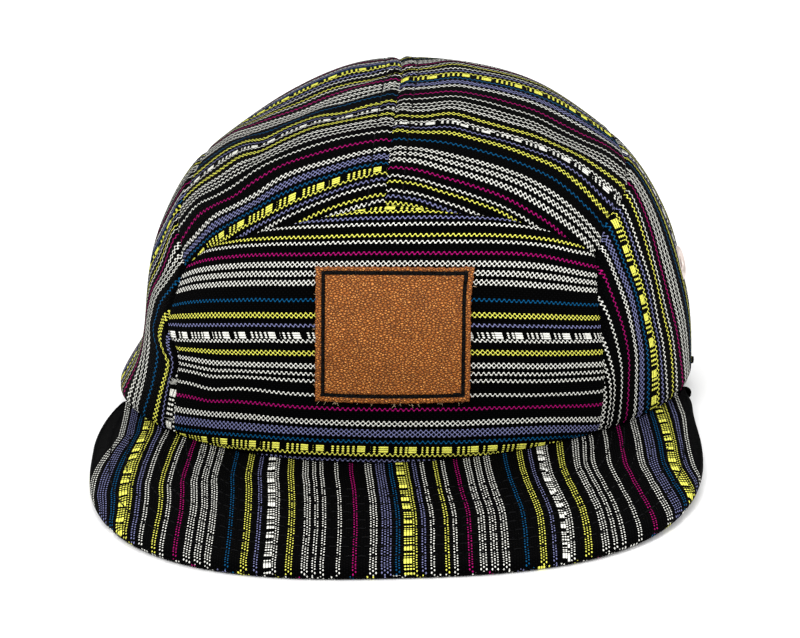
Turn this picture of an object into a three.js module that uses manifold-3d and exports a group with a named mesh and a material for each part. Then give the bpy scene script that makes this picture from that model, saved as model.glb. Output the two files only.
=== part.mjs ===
import * as THREE from 'three';
import { mergeVertices } from 'three/addons/utils/BufferGeometryUtils.js';
import Module from 'manifold-3d';

// A soft cap of five cloth panels with a padded brim and a leather patch.
// Sizes are millimetres and angles degrees. +Z is up and the brim points along -Y.
// An angle of 0 is the front of the crown, and a positive angle turns towards +X.

// The crown is a rounded dome over an oval, taller than a sphere and lopsided as worn cloth is.
const crown = { halfLeft: 83.7, halfRight: 89.7, front: 90.7, back: 100.6, centreY: -4.6, height: 100.3 };
const crownPole = { shiftX: 2.6, shiftY: -0.9 };

// As it lies, the crown leans towards +X and down towards the brim.
const lean = { roll: 1.9, pitch: 0.96, pivotY: 96 };
const roundness = { front: 2.76, left: 1.96, right: 2.35, back: 2.6 };

// Where the soft cloth has sunk or flared: each place is pushed by a vector that fades around it.
const sags = [
  { angle: -96, height: 24.5, spreadAngle: 30, spreadHeight: 22, push: [8.7, 0, 0] },
  { angle: -88, height: 6, spreadAngle: 26, spreadHeight: 11, push: [-3.2, 0, 0] },
  { angle: -100, height: 86, spreadAngle: 42, spreadHeight: 14, push: [0.4, 0, -1.1] },
  { angle: 95, height: 88, spreadAngle: 60, spreadHeight: 20, push: [0.8, 0, 1.1] },
  { angle: -78, height: 98, spreadAngle: 50, spreadHeight: 8, push: [0, 0, -4.3] },
  { angle: 68, height: 98, spreadAngle: 45, spreadHeight: 7, push: [0, 0, 1.4] },
  { angle: 75, height: 86, spreadAngle: 40, spreadHeight: 9, push: [0, 0, -3.1] },
  { angle: -97, height: 69, spreadAngle: 34, spreadHeight: 9, push: [-0.2, 0, 1.7] },
];
const clothThickness = 2;
const seamGap = 0.36;

// The hem stands on the brim in front and lies flat on the floor at the back.
const hemLift = [
  { angle: -180, lift: -0.4 },
  { angle: -150, lift: -1.6 },
  { angle: -135, lift: -1.9 },
  { angle: -110, lift: 1.8 },
  { angle: -90, lift: 6.3 },
  { angle: -70, lift: 8.2 },
  { angle: -40, lift: 9.5 },
  { angle: 0, lift: 11.2 },
  { angle: 40, lift: 12.7 },
  { angle: 70, lift: 11.8 },
  { angle: 90, lift: 9.8 },
  { angle: 110, lift: 7.2 },
  { angle: 135, lift: 2.2 },
  { angle: 150, lift: 1.3 },
  { angle: 180, lift: -0.4 },
];

// The arched upper edge of the front panel.
const frontPanelTop = [
  { angle: -54, height: 54.7 },
  { angle: -47, height: 62.4 },
  { angle: -36, height: 68 },
  { angle: -21, height: 74.2 },
  { angle: -4, height: 78.6 },
  { angle: 12, height: 76.5 },
  { angle: 23, height: 73.9 },
  { angle: 35, height: 67.6 },
  { angle: 42.5, height: 61 },
];

// The seams over the shoulders, from the front panel's corners to the middle of the back.
const leftShoulder = [
  { angle: -180, height: 54 },
  { angle: -150, height: 59 },
  { angle: -125, height: 66.5 },
  { angle: -105, height: 71 },
  { angle: -90, height: 71.5 },
  { angle: -78, height: 68.5 },
  { angle: -67, height: 61.5 },
  { angle: -60, height: 59 },
  { angle: -54, height: 54.7 },
];
const rightShoulder = [
  { angle: 42.5, height: 61 },
  { angle: 48, height: 67.9 },
  { angle: 54, height: 70.2 },
  { angle: 63, height: 72.9 },
  { angle: 71.5, height: 75.8 },
  { angle: 80, height: 77.9 },
  { angle: 100, height: 79 },
  { angle: 125, height: 73 },
  { angle: 150, height: 63 },
  { angle: 180, height: 54 },
];

// The upright edges of the front panel, by their share of the way from the hem to the corner.
const frontPanelSides = [
  { share: 0, left: -49.5, right: 39.2 },
  { share: 0.3, left: -49.3, right: 40.4 },
  { share: 0.45, left: -49.6, right: 40.2 },
  { share: 0.63, left: -55, right: 40.2 },
  { share: 0.8, left: -54.6, right: 40.6 },
  { share: 1, left: -54, right: 42.5 },
];
const centreSeamAngle = -4.3;
const backSeamAngle = 180;

const brim = {
  halfWidth: 84.5, reach: 103, centreX: -0.2, centreY: -57, squareness: 2.68, endAngle: 72,
  tuck: 6, thickness: 3.6, hemThickness: 2.6, seat: 0.3,
  leftLift: 0.3, rightLift: 2.4, curl: 0.6, skew: 0.03,
};
const patch = {
  width: 41.4, height: 35, centreX: 0.1, centreHeight: 45.4, slant: 2.6, thickness: 1.6, seat: 0.3,
};
const eyelet = {
  outerRadius: 5.2, barrelRadius: 3.1, boreRadius: 2.4, holeRadius: 3.6,
  flange: 0.9, outerSeat: 0.35, innerSeat: 0.6, sides: 20,
};
const eyeletPlaces = [
  { name: 'eyelet_right', panel: 'side_panel_right', angle: 84, height: 44.3 },
  { name: 'eyelet_left', panel: 'side_panel_left', angle: -104, height: 46 },
];
const backOpening = { halfWidth: 35, height: 42, squareness: 2.3, steps: 18, nearY: 40, farY: 130 };
const strap = { low: 4, high: 24, endAngle: 34, thickness: 1.6, clearance: 0.5, columns: 18 };
const buckle = { width: 9, wall: 1.4, clearance: 0.5 };

const cloth = new THREE.MeshStandardMaterial({ color: 0x17161a, roughness: 0.92, metalness: 0 });
const brimCloth = new THREE.MeshStandardMaterial({ color: 0x1c1b20, roughness: 0.92, metalness: 0 });
const leather = new THREE.MeshStandardMaterial({ color: 0xb4692f, roughness: 0.6, metalness: 0 });
const webbing = new THREE.MeshStandardMaterial({ color: 0x101012, roughness: 0.95, metalness: 0 });
const metal = new THREE.MeshStandardMaterial({ color: 0xb9b2ac, roughness: 0.35, metalness: 1 });

const wasm = await Module();
wasm.setup();

function mix(a, b, share) {
  return a + (b - a) * share;
}

// A smooth curve through the rows of a table.
function readTable(rows, key, value, at) {
  const last = rows.length - 1;
  const x = THREE.MathUtils.clamp(at, rows[0][key], rows[last][key]);
  let i = 0;
  while (i < last - 1 && x > rows[i + 1][key]) {
    i += 1;
  }
  const slope = (k) => {
    const before = rows[Math.max(k - 1, 0)];
    const after = rows[Math.min(k + 1, last)];
    return (after[value] - before[value]) / (after[key] - before[key]);
  };
  const span = rows[i + 1][key] - rows[i][key];
  const t = (x - rows[i][key]) / span;
  const rest = 1 - t;
  return (1 + 2 * t) * rest * rest * rows[i][value] + t * rest * rest * span * slope(i)
    + t * t * (3 - 2 * t) * rows[i + 1][value] - t * t * rest * span * slope(i + 1);
}

function hemHeight(angle) {
  return readTable(hemLift, 'angle', 'lift', angle);
}

// Height of the seam that ends the front panel and the side panels.
function seamHeight(angle) {
  if (angle < frontPanelTop[0].angle) {
    return readTable(leftShoulder, 'angle', 'height', angle);
  }
  if (angle > frontPanelTop[frontPanelTop.length - 1].angle) {
    return readTable(rightShoulder, 'angle', 'height', angle);
  }
  return readTable(frontPanelTop, 'angle', 'height', angle);
}

function roundnessAt(angle) {
  const c = Math.cos(THREE.MathUtils.degToRad(angle));
  const front = Math.max(c, 0) ** 2;
  const back = Math.max(-c, 0) ** 2;
  const side = angle < 0 ? roundness.left : roundness.right;
  return roundness.front * front + roundness.back * back + side * (1 - front - back);
}

// Turns a point of the upright crown into its place on the floor, and keeps it out of the floor.
function layDown(point) {
  point.y -= lean.pivotY;
  point.applyAxisAngle(new THREE.Vector3(0, 1, 0), THREE.MathUtils.degToRad(lean.roll));
  point.applyAxisAngle(new THREE.Vector3(1, 0, 0), THREE.MathUtils.degToRad(lean.pitch));
  point.y += lean.pivotY;
  point.z = Math.max(point.z, 0);
  return point;
}

// A point on the outside of the crown. A rise of 0 is the hem and 1 is the pole on top.
function crownPoint(angle, rise) {
  const turn = THREE.MathUtils.degToRad(angle);
  const power = 2 / roundnessAt(angle);
  const spread = Math.max(Math.cos(rise * Math.PI / 2), 0) ** power;
  const climb = Math.max(Math.sin(rise * Math.PI / 2), 0) ** power;
  const hem = hemHeight(angle);
  const halfWidth = angle < 0 ? crown.halfLeft : crown.halfRight;
  const reach = Math.cos(turn) > 0 ? crown.front : crown.back;
  const z = hem + (crown.height - hem) * climb;
  const point = new THREE.Vector3(
    halfWidth * Math.sin(turn) * spread + crownPole.shiftX * climb ** 2,
    -reach * Math.cos(turn) * spread + crown.centreY + crownPole.shiftY * climb ** 2,
    z,
  );
  for (const sag of sags) {
    const nearHeight = Math.exp(-(((z - sag.height) / sag.spreadHeight) ** 2));
    const nearAngle = Math.exp(-(((angle - sag.angle) / sag.spreadAngle) ** 2));
    const push = new THREE.Vector3(...sag.push);
    point.addScaledVector(push, nearHeight * nearAngle * (1 - rise ** 6));
  }
  point.z = Math.max(point.z, hem);
  return layDown(point);
}

function riseAtHeight(angle, height) {
  const hem = hemHeight(angle);
  const climb = THREE.MathUtils.clamp((height - hem) / (crown.height - hem), 0, 1);
  return Math.asin(climb ** (roundnessAt(angle) / 2)) / (Math.PI / 2);
}

function crownNormal(angle, rise) {
  const step = 0.004;
  const low = THREE.MathUtils.clamp(rise, step, 0.93);
  const around = crownPoint(angle + 0.4, low).sub(crownPoint(angle - 0.4, low));
  const upward = crownPoint(angle, low + step).sub(crownPoint(angle, low - step));
  const normal = around.cross(upward).normalize();
  const nearPole = THREE.MathUtils.smoothstep(rise, 0.86, 1);
  return normal.lerp(new THREE.Vector3(0, 0, 1), nearPole).normalize();
}

// The angle at which the crown, at one height, is as far to the side as x.
function angleAtX(x, height) {
  let angle = 0;
  for (let i = 0; i < 6; i += 1) {
    const here = crownPoint(angle, riseAtHeight(angle, height));
    const beside = crownPoint(angle + 1, riseAtHeight(angle + 1, height));
    angle += (x - here.x) / (beside.x - here.x);
  }
  return angle;
}

// A closed solid between two grids of points that face each other.
function solidBetween(outside, inside) {
  const corners = [];
  const addTriangle = (a, b, c) => {
    const area = b.clone().sub(a).cross(c.clone().sub(a)).length();
    if (area > 1e-5) {
      corners.push(a, b, c);
    }
  };
  const addQuad = (a, b, c, d) => {
    addTriangle(a, b, c);
    addTriangle(a, c, d);
  };
  const columns = outside.length - 1;
  const rows = outside[0].length - 1;
  for (let i = 0; i < columns; i += 1) {
    for (let j = 0; j < rows; j += 1) {
      addQuad(outside[i][j], outside[i + 1][j], outside[i + 1][j + 1], outside[i][j + 1]);
      addQuad(inside[i][j], inside[i][j + 1], inside[i + 1][j + 1], inside[i + 1][j]);
    }
    addQuad(outside[i][0], inside[i][0], inside[i + 1][0], outside[i + 1][0]);
    addQuad(outside[i][rows], outside[i + 1][rows], inside[i + 1][rows], inside[i][rows]);
  }
  for (let j = 0; j < rows; j += 1) {
    addQuad(outside[0][j], outside[0][j + 1], inside[0][j + 1], inside[0][j]);
    addQuad(outside[columns][j], inside[columns][j], inside[columns][j + 1], outside[columns][j + 1]);
  }
  let volume = 0;
  for (let k = 0; k < corners.length; k += 3) {
    volume += corners[k].dot(corners[k + 1].clone().cross(corners[k + 2])) / 6;
  }
  if (volume < 0) {
    corners.reverse();
  }
  const geometry = new THREE.BufferGeometry().setFromPoints(corners);
  return mergeVertices(geometry, 1e-4);
}

function toManifold(geometry) {
  const bare = new THREE.BufferGeometry();
  bare.setAttribute('position', geometry.getAttribute('position').clone());
  if (geometry.index) {
    bare.setIndex(geometry.index.clone());
  }
  const welded = mergeVertices(bare, 1e-4);
  return new wasm.Manifold(new wasm.Mesh({
    numProp: 3,
    vertProperties: new Float32Array(welded.getAttribute('position').array),
    triVerts: new Uint32Array(welded.index.array),
  }));
}

function fromManifold(solid) {
  const mesh = solid.getMesh();
  const geometry = new THREE.BufferGeometry();
  geometry.setAttribute('position', new THREE.BufferAttribute(mesh.vertProperties, 3));
  geometry.setIndex(new THREE.BufferAttribute(mesh.triVerts, 1));
  return geometry;
}

function placed(name, geometry, material) {
  const flat = geometry.index ? geometry.toNonIndexed() : geometry;
  flat.computeVertexNormals();
  const mesh = new THREE.Mesh(flat, material);
  mesh.name = name;
  return mesh;
}

// A cloth wall over a grid of places, each an angle and a rise. The foot row stays level.
function wallSolid(columns, rows, placeAt, shiftAt) {
  const outside = [];
  const inside = [];
  for (let i = 0; i <= columns; i += 1) {
    outside.push([]);
    inside.push([]);
    for (let j = 0; j <= rows; j += 1) {
      const place = placeAt(i / columns, j / rows);
      const outer = crownPoint(place.angle, place.rise);
      const inner = outer.clone().addScaledVector(crownNormal(place.angle, place.rise), -clothThickness);
      if (place.rise === 0) {
        inner.z = outer.z;
      }
      const shift = shiftAt ? shiftAt(i / columns, j / rows) : 0;
      outer.x += shift;
      inner.x += shift;
      outside[i].push(outer);
      inside[i].push(inner);
    }
  }
  return solidBetween(outside, inside);
}

const seamGapAngle = THREE.MathUtils.radToDeg(seamGap / 2 / crown.front);

// A place under the shoulder seam, by its angle and its share of the way up.
function placeBelowSeam(angle, share) {
  const top = seamHeight(angle) - seamGap / 2;
  const hem = hemHeight(angle);
  return { angle, rise: share === 0 ? 0 : riseAtHeight(angle, mix(hem, top, share)) };
}

function frontPanelSolid() {
  return wallSolid(22, 8, (across, share) => {
    const left = readTable(frontPanelSides, 'share', 'left', share) + seamGapAngle;
    const right = readTable(frontPanelSides, 'share', 'right', share) - seamGapAngle;
    return placeBelowSeam(mix(left, right, across), share);
  });
}

function sidePanelSolid(side) {
  const back = side === 'left' ? -backSeamAngle + seamGapAngle : backSeamAngle - seamGapAngle;
  const gap = side === 'left' ? -seamGapAngle : seamGapAngle;
  return wallSolid(30, 8, (across, share) => {
    const front = readTable(frontPanelSides, 'share', side, share) + gap;
    const angle = side === 'left' ? mix(back, front, across) : mix(front, back, across);
    return placeBelowSeam(angle, share);
  });
}

// The two top panels meet in the centre seam, and run down behind to the side panels.
function topPanelSolid(side) {
  const from = side === 'left' ? -backSeamAngle : centreSeamAngle;
  const to = side === 'left' ? centreSeamAngle : backSeamAngle;
  const corner = side === 'left' ? frontPanelTop[0].angle : frontPanelTop[frontPanelTop.length - 1].angle;
  const cornerColumn = side === 'left' ? 0.74 : 0.3;
  const gap = side === 'left' ? -seamGap / 2 : seamGap / 2;
  const placeAt = (across, share) => {
    const angle = across < cornerColumn
      ? mix(from, corner, across / cornerColumn)
      : mix(corner, to, (across - cornerColumn) / (1 - cornerColumn));
    const foot = riseAtHeight(angle, seamHeight(angle) + seamGap / 2);
    return { angle, rise: mix(foot, 1, share) };
  };
  const shiftAt = (across, share) => (across === 0 || across === 1 || share === 1 ? gap : 0);
  return wallSolid(34, 8, placeAt, shiftAt);
}

// Height of the middle of the brim's edge. It rests on the floor in front and rises at its ends.
function brimEdgeHeight(across) {
  const lift = across < 0 ? brim.leftLift : brim.rightLift;
  return brim.thickness / 2 + lift * across ** 6;
}

// The outline of the brim, from one end at -1 to the other at 1: a broad rounded front between
// two corners that turn in to the hem.
function brimEdge(side) {
  const sign = Math.sign(side);
  const along = Math.abs(side);
  const endShare = 0.84;
  if (along > endShare) {
    const turn = (along - endShare) / (1 - endShare) * Math.PI / 2;
    const end = crownPoint(sign * brim.endAngle, 0);
    return new THREE.Vector3(
      mix(end.x, brim.centreX + sign * brim.halfWidth, Math.cos(turn)),
      mix(brim.centreY, end.y, Math.sin(turn)),
      mix(brimEdgeHeight(sign), end.z - brim.thickness / 2, 1 - Math.cos(turn)),
    );
  }
  const turn = along / endShare * Math.PI / 2;
  const power = 2 / brim.squareness;
  const across = Math.sin(turn) ** power;
  const x = brim.centreX + sign * brim.halfWidth * across;
  return new THREE.Vector3(
    x,
    brim.centreY - (brim.reach + brim.skew * x) * Math.cos(turn) ** power,
    brimEdgeHeight(sign * across),
  );
}

// The brim is tucked under the front hem, slopes down to its edge and ends in a round nose.
function brimSolid() {
  const columns = 36;
  const rows = 7;
  const noseSteps = 3;
  const above = [];
  const below = [];
  for (let i = 0; i <= columns; i += 1) {
    const side = mix(-0.999, 0.999, i / columns);
    const hem = crownPoint(side * brim.endAngle, 0);
    const edge = brimEdge(side);
    const outward = new THREE.Vector3(edge.x - hem.x, edge.y - hem.y, 0);
    if (Math.abs(side) > 0.97) {
      outward.set(hem.x, hem.y - crown.centreY, 0);
    }
    outward.normalize();
    const tuckPoint = hem.clone().addScaledVector(outward, -brim.tuck);
    above.push([]);
    below.push([]);
    for (let j = 0; j <= rows; j += 1) {
      const share = j / rows;
      const point = tuckPoint.clone().lerp(edge, share);
      const fall = mix(share, share ** 3, brim.curl);
      const half = mix(brim.hemThickness, brim.thickness, share) / 2;
      const hemMiddle = hem.z - brim.seat - brim.hemThickness / 2;
      const middle = mix(hemMiddle, edge.z, fall);
      above[i].push(new THREE.Vector3(point.x, point.y, middle + half));
      below[i].push(new THREE.Vector3(point.x, point.y, middle - half));
    }
    for (let k = 1; k <= noseSteps; k += 1) {
      const turn = k / noseSteps * Math.PI / 2;
      const nose = edge.clone().addScaledVector(outward, Math.sin(turn) * brim.thickness / 2);
      const half = Math.cos(turn) * brim.thickness / 2;
      above[i].push(new THREE.Vector3(nose.x, nose.y, edge.z + half));
      below[i].push(new THREE.Vector3(nose.x, nose.y, edge.z - half));
    }
  }
  return solidBetween(above, below);
}

function patchSolid() {
  const outside = [];
  const inside = [];
  const columns = 10;
  const rows = 7;
  for (let i = 0; i <= columns; i += 1) {
    outside.push([]);
    inside.push([]);
    for (let j = 0; j <= rows; j += 1) {
      const height = patch.centreHeight + patch.height * (j / rows - 0.5);
      const slide = (height - patch.centreHeight) * Math.tan(THREE.MathUtils.degToRad(patch.slant));
      const x = patch.centreX + patch.width * (i / columns - 0.5) + slide;
      const angle = angleAtX(x, height);
      const rise = riseAtHeight(angle, height);
      const base = crownPoint(angle, rise);
      const normal = crownNormal(angle, rise);
      inside[i].push(base.clone().addScaledVector(normal, patch.seat));
      outside[i].push(base.clone().addScaledVector(normal, patch.seat + patch.thickness));
    }
  }
  return solidBetween(outside, inside);
}

// Turns a geometry made around +Y so that +Y points out of the wall, and sets it there.
function setInWall(geometry, angle, height) {
  const rise = riseAtHeight(angle, height);
  const normal = crownNormal(angle, rise);
  const turn = new THREE.Quaternion().setFromUnitVectors(new THREE.Vector3(0, 1, 0), normal);
  const base = crownPoint(angle, rise);
  return geometry.applyMatrix4(new THREE.Matrix4().compose(base, turn, new THREE.Vector3(1, 1, 1)));
}

function eyeletSolid(place) {
  const { outerRadius, barrelRadius, boreRadius, flange, outerSeat, innerSeat, sides } = eyelet;
  const innerTop = -clothThickness - innerSeat;
  const profile = [
    [boreRadius, innerTop - flange],
    [outerRadius - 0.6, innerTop - flange],
    [outerRadius - 0.6, innerTop],
    [barrelRadius, innerTop],
    [barrelRadius, outerSeat],
    [outerRadius, outerSeat],
    [outerRadius - 0.4, outerSeat + flange * 0.7],
    [outerRadius - 1.2, outerSeat + flange],
    [boreRadius + 0.5, outerSeat + flange],
    [boreRadius, outerSeat + flange * 0.6],
    [boreRadius, innerTop - flange],
  ].map(([radius, along]) => new THREE.Vector2(radius, along));
  return setInWall(new THREE.LatheGeometry(profile, sides), place.angle, place.height);
}

function eyeletHole(place) {
  const hole = new THREE.CylinderGeometry(eyelet.holeRadius, eyelet.holeRadius, 20, eyelet.sides);
  return setInWall(hole, place.angle, place.height);
}

// The arch at the back that the strap spans.
function backOpeningSolid() {
  const outline = new THREE.Shape();
  outline.moveTo(-backOpening.halfWidth, -10);
  for (let i = 0; i <= backOpening.steps; i += 1) {
    const turn = i / backOpening.steps * Math.PI;
    const power = 2 / backOpening.squareness;
    const across = Math.sign(Math.cos(turn)) * Math.abs(Math.cos(turn)) ** power;
    outline.lineTo(-backOpening.halfWidth * across, backOpening.height * Math.sin(turn) ** power);
  }
  outline.lineTo(backOpening.halfWidth, -10);
  const depth = backOpening.farY - backOpening.nearY;
  const arch = new THREE.ExtrudeGeometry(outline, { depth, bevelEnabled: false });
  return arch.rotateX(Math.PI / 2).translate(0, backOpening.farY, 0);
}

function sidePanelWithHoles(side) {
  const name = `side_panel_${side}`;
  let solid = toManifold(sidePanelSolid(side)).subtract(toManifold(backOpeningSolid()));
  for (const place of eyeletPlaces.filter((candidate) => candidate.panel === name)) {
    solid = solid.subtract(toManifold(eyeletHole(place)));
  }
  return fromManifold(solid);
}

// A place on the strap, which lies inside the side panels and is straight from edge to edge.
function strapPoint(angle, share, depth) {
  const foot = crownPoint(angle, riseAtHeight(angle, strap.low));
  const head = crownPoint(angle, riseAtHeight(angle, strap.high));
  const inward = crownNormal(angle, riseAtHeight(angle, (strap.low + strap.high) / 2));
  const seat = clothThickness + strap.clearance + depth;
  return foot.lerp(head, share).addScaledVector(inward, -seat);
}

function strapSolid() {
  const outside = [];
  const inside = [];
  const rows = 1;
  for (let i = 0; i <= strap.columns; i += 1) {
    const angle = mix(backSeamAngle - strap.endAngle, backSeamAngle + strap.endAngle, i / strap.columns);
    const turned = angle > 180 ? angle - 360 : angle;
    outside.push([]);
    inside.push([]);
    for (let j = 0; j <= rows; j += 1) {
      outside[i].push(strapPoint(turned, j / rows, 0));
      inside[i].push(strapPoint(turned, j / rows, strap.thickness));
    }
  }
  return solidBetween(outside, inside);
}

function frameShape(halfDepth, halfHeight) {
  const shape = new THREE.Shape();
  shape.moveTo(-halfDepth, -halfHeight);
  shape.lineTo(halfDepth, -halfHeight);
  shape.lineTo(halfDepth, halfHeight);
  shape.lineTo(-halfDepth, halfHeight);
  shape.closePath();
  return shape;
}

// A plain metal keeper that the strap passes through.
function buckleSolid() {
  const foot = strapPoint(backSeamAngle, 0, strap.thickness / 2);
  const head = strapPoint(backSeamAngle, 1, strap.thickness / 2);
  const halfDepth = strap.thickness / 2 + buckle.clearance;
  const halfHeight = foot.distanceTo(head) / 2 + buckle.clearance;
  const ring = frameShape(halfDepth + buckle.wall, halfHeight + buckle.wall);
  ring.holes.push(frameShape(halfDepth, halfHeight));
  const geometry = new THREE.ExtrudeGeometry(ring, { depth: buckle.width, bevelEnabled: false });
  const along = new THREE.Vector3(1, 0, 0);
  const upward = head.clone().sub(foot).normalize();
  const place = new THREE.Matrix4().makeBasis(upward.clone().cross(along), upward, along);
  place.setPosition(foot.lerp(head, 0.5).addScaledVector(along, -buckle.width / 2));
  return geometry.applyMatrix4(place);
}

const cap = new THREE.Group();
cap.add(placed('front_panel', frontPanelSolid(), cloth));
cap.add(placed('top_panel_left', topPanelSolid('left'), cloth));
cap.add(placed('top_panel_right', topPanelSolid('right'), cloth));
cap.add(placed('side_panel_left', sidePanelWithHoles('left'), cloth));
cap.add(placed('side_panel_right', sidePanelWithHoles('right'), cloth));
cap.add(placed('brim', brimSolid(), brimCloth));
cap.add(placed('leather_patch', patchSolid(), leather));
for (const place of eyeletPlaces) {
  cap.add(placed(place.name, eyeletSolid(place), metal));
}
cap.add(placed('back_strap', strapSolid(), webbing));
cap.add(placed('strap_buckle', buckleSolid(), metal));

// The origin is the middle of the cap's outline on the floor.
const middle = new THREE.Box3().setFromObject(cap).getCenter(new THREE.Vector3());
cap.position.set(-middle.x, -middle.y, 0);

export default cap;
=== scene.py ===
"""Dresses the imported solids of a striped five-panel cap in cloth, leather, thread and metal."""

import logging
import math
from dataclasses import astuple, dataclass
from enum import Enum
from typing import Sequence, Union

import bpy
import numpy as np
from bpy.types import Material, Node, NodeSocket, Object, ShaderNodeTree
from mathutils import Matrix, Vector
from mathutils.bvhtree import BVHTree
from numpy.typing import NDArray

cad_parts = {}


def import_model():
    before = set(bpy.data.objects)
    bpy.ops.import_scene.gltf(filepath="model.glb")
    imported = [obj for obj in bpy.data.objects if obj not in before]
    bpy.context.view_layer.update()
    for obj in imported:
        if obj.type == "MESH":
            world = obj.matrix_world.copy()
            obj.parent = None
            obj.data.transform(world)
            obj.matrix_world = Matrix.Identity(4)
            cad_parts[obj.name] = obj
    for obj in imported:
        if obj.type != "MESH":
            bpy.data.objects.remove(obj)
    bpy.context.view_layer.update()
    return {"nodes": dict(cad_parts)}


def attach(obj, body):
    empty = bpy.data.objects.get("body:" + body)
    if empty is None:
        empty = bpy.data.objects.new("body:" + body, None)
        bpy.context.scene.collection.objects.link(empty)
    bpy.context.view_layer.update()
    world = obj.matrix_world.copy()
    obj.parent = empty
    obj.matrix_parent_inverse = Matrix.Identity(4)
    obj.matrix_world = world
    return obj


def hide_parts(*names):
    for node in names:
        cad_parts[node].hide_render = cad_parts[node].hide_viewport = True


Array = NDArray[np.float64]
Pair = tuple[float, float]
Triple = tuple[float, float, float]
Table = tuple[Pair, ...]
Faces = list[Sequence[int]]
Colour = tuple[float, float, float, float]
Socket = Union[NodeSocket, float]
Surface = tuple[Socket, Socket, Socket]

LOG = logging.getLogger("cap")
MM = 0.001
SURFACE_UV = "surface"
OUTLINE_MIDDLE = np.array([2.022, -33.191, 0.0])
SOCKET_KINDS = {"Place": "NodeSocketVector", "Colour": "NodeSocketColor"}


# Numbers and curves


def mix(first: Array | float, second: Array | float, share: Array | float) -> Array | float:
    """Returns the value that lies a share of the way from first to second."""
    return first + (second - first) * share


def smooth_table(rows: Table, at: Array | float) -> Array:
    """Reads a smooth curve through the rows of a table.

    Args:
        rows: Pairs of a place and its value, with the places in rising order.
        at: The places to read, held inside the table.

    Returns:
        The value at each place.
    """
    places, values = np.array(rows, dtype=float).T
    last = len(places) - 1
    before = np.maximum(np.arange(last + 1) - 1, 0)
    after = np.minimum(np.arange(last + 1) + 1, last)
    slopes = (values[after] - values[before]) / (places[after] - places[before])
    held = np.clip(np.asarray(at, dtype=float), places[0], places[-1])
    low = np.clip(np.searchsorted(places, held) - 1, 0, last - 1)
    span = places[low + 1] - places[low]
    t = (held - places[low]) / span
    start = (1 + 2 * t) * (1 - t) ** 2 * values[low] + t * (1 - t) ** 2 * span * slopes[low]
    end = t**2 * (3 - 2 * t) * values[low + 1] - t**2 * (1 - t) * span * slopes[low + 1]
    return start + end


def bell(distance: Array, spread: float) -> Array:
    """Returns a smooth bump that is 1 at no distance and fades over the spread."""
    return np.exp(-((distance / spread) ** 2))


def gathered(count: int, pull: float) -> Array:
    """Returns count + 1 shares from 0 to 1 that lie closer together near both ends."""
    even = np.linspace(0, 1, count + 1)
    return even - pull * np.sin(2 * math.pi * even) / (2 * math.pi)


def length_along(points: Array, axis: int) -> Array:
    """Returns how far each point of a grid lies along its line, in the units of the points."""
    steps = np.linalg.norm(np.diff(points, axis=axis), axis=-1)
    return np.insert(np.cumsum(steps, axis=axis), 0, 0.0, axis=axis)


def signed_power(value: Array, power: float) -> Array:
    """Returns a value to a power, with its sign kept."""
    return np.sign(value) * np.abs(value) ** power


def unit(vectors: Array) -> Array:
    """Returns vectors of the same directions that are 1 long."""
    return vectors / np.maximum(np.linalg.norm(vectors, axis=-1, keepdims=True), 1e-9)


def in_row_frame(points: Array) -> Array:
    """Returns places in metres from the middle of the cap's outline."""
    return (points - OUTLINE_MIDDLE) * MM


# The form of the crown


@dataclass(frozen=True)
class Sag:
    """A place where the soft crown has sunk or flared, in millimetres and degrees."""

    angle: float
    height: float
    spread_angle: float
    spread_height: float
    push: Triple


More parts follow.
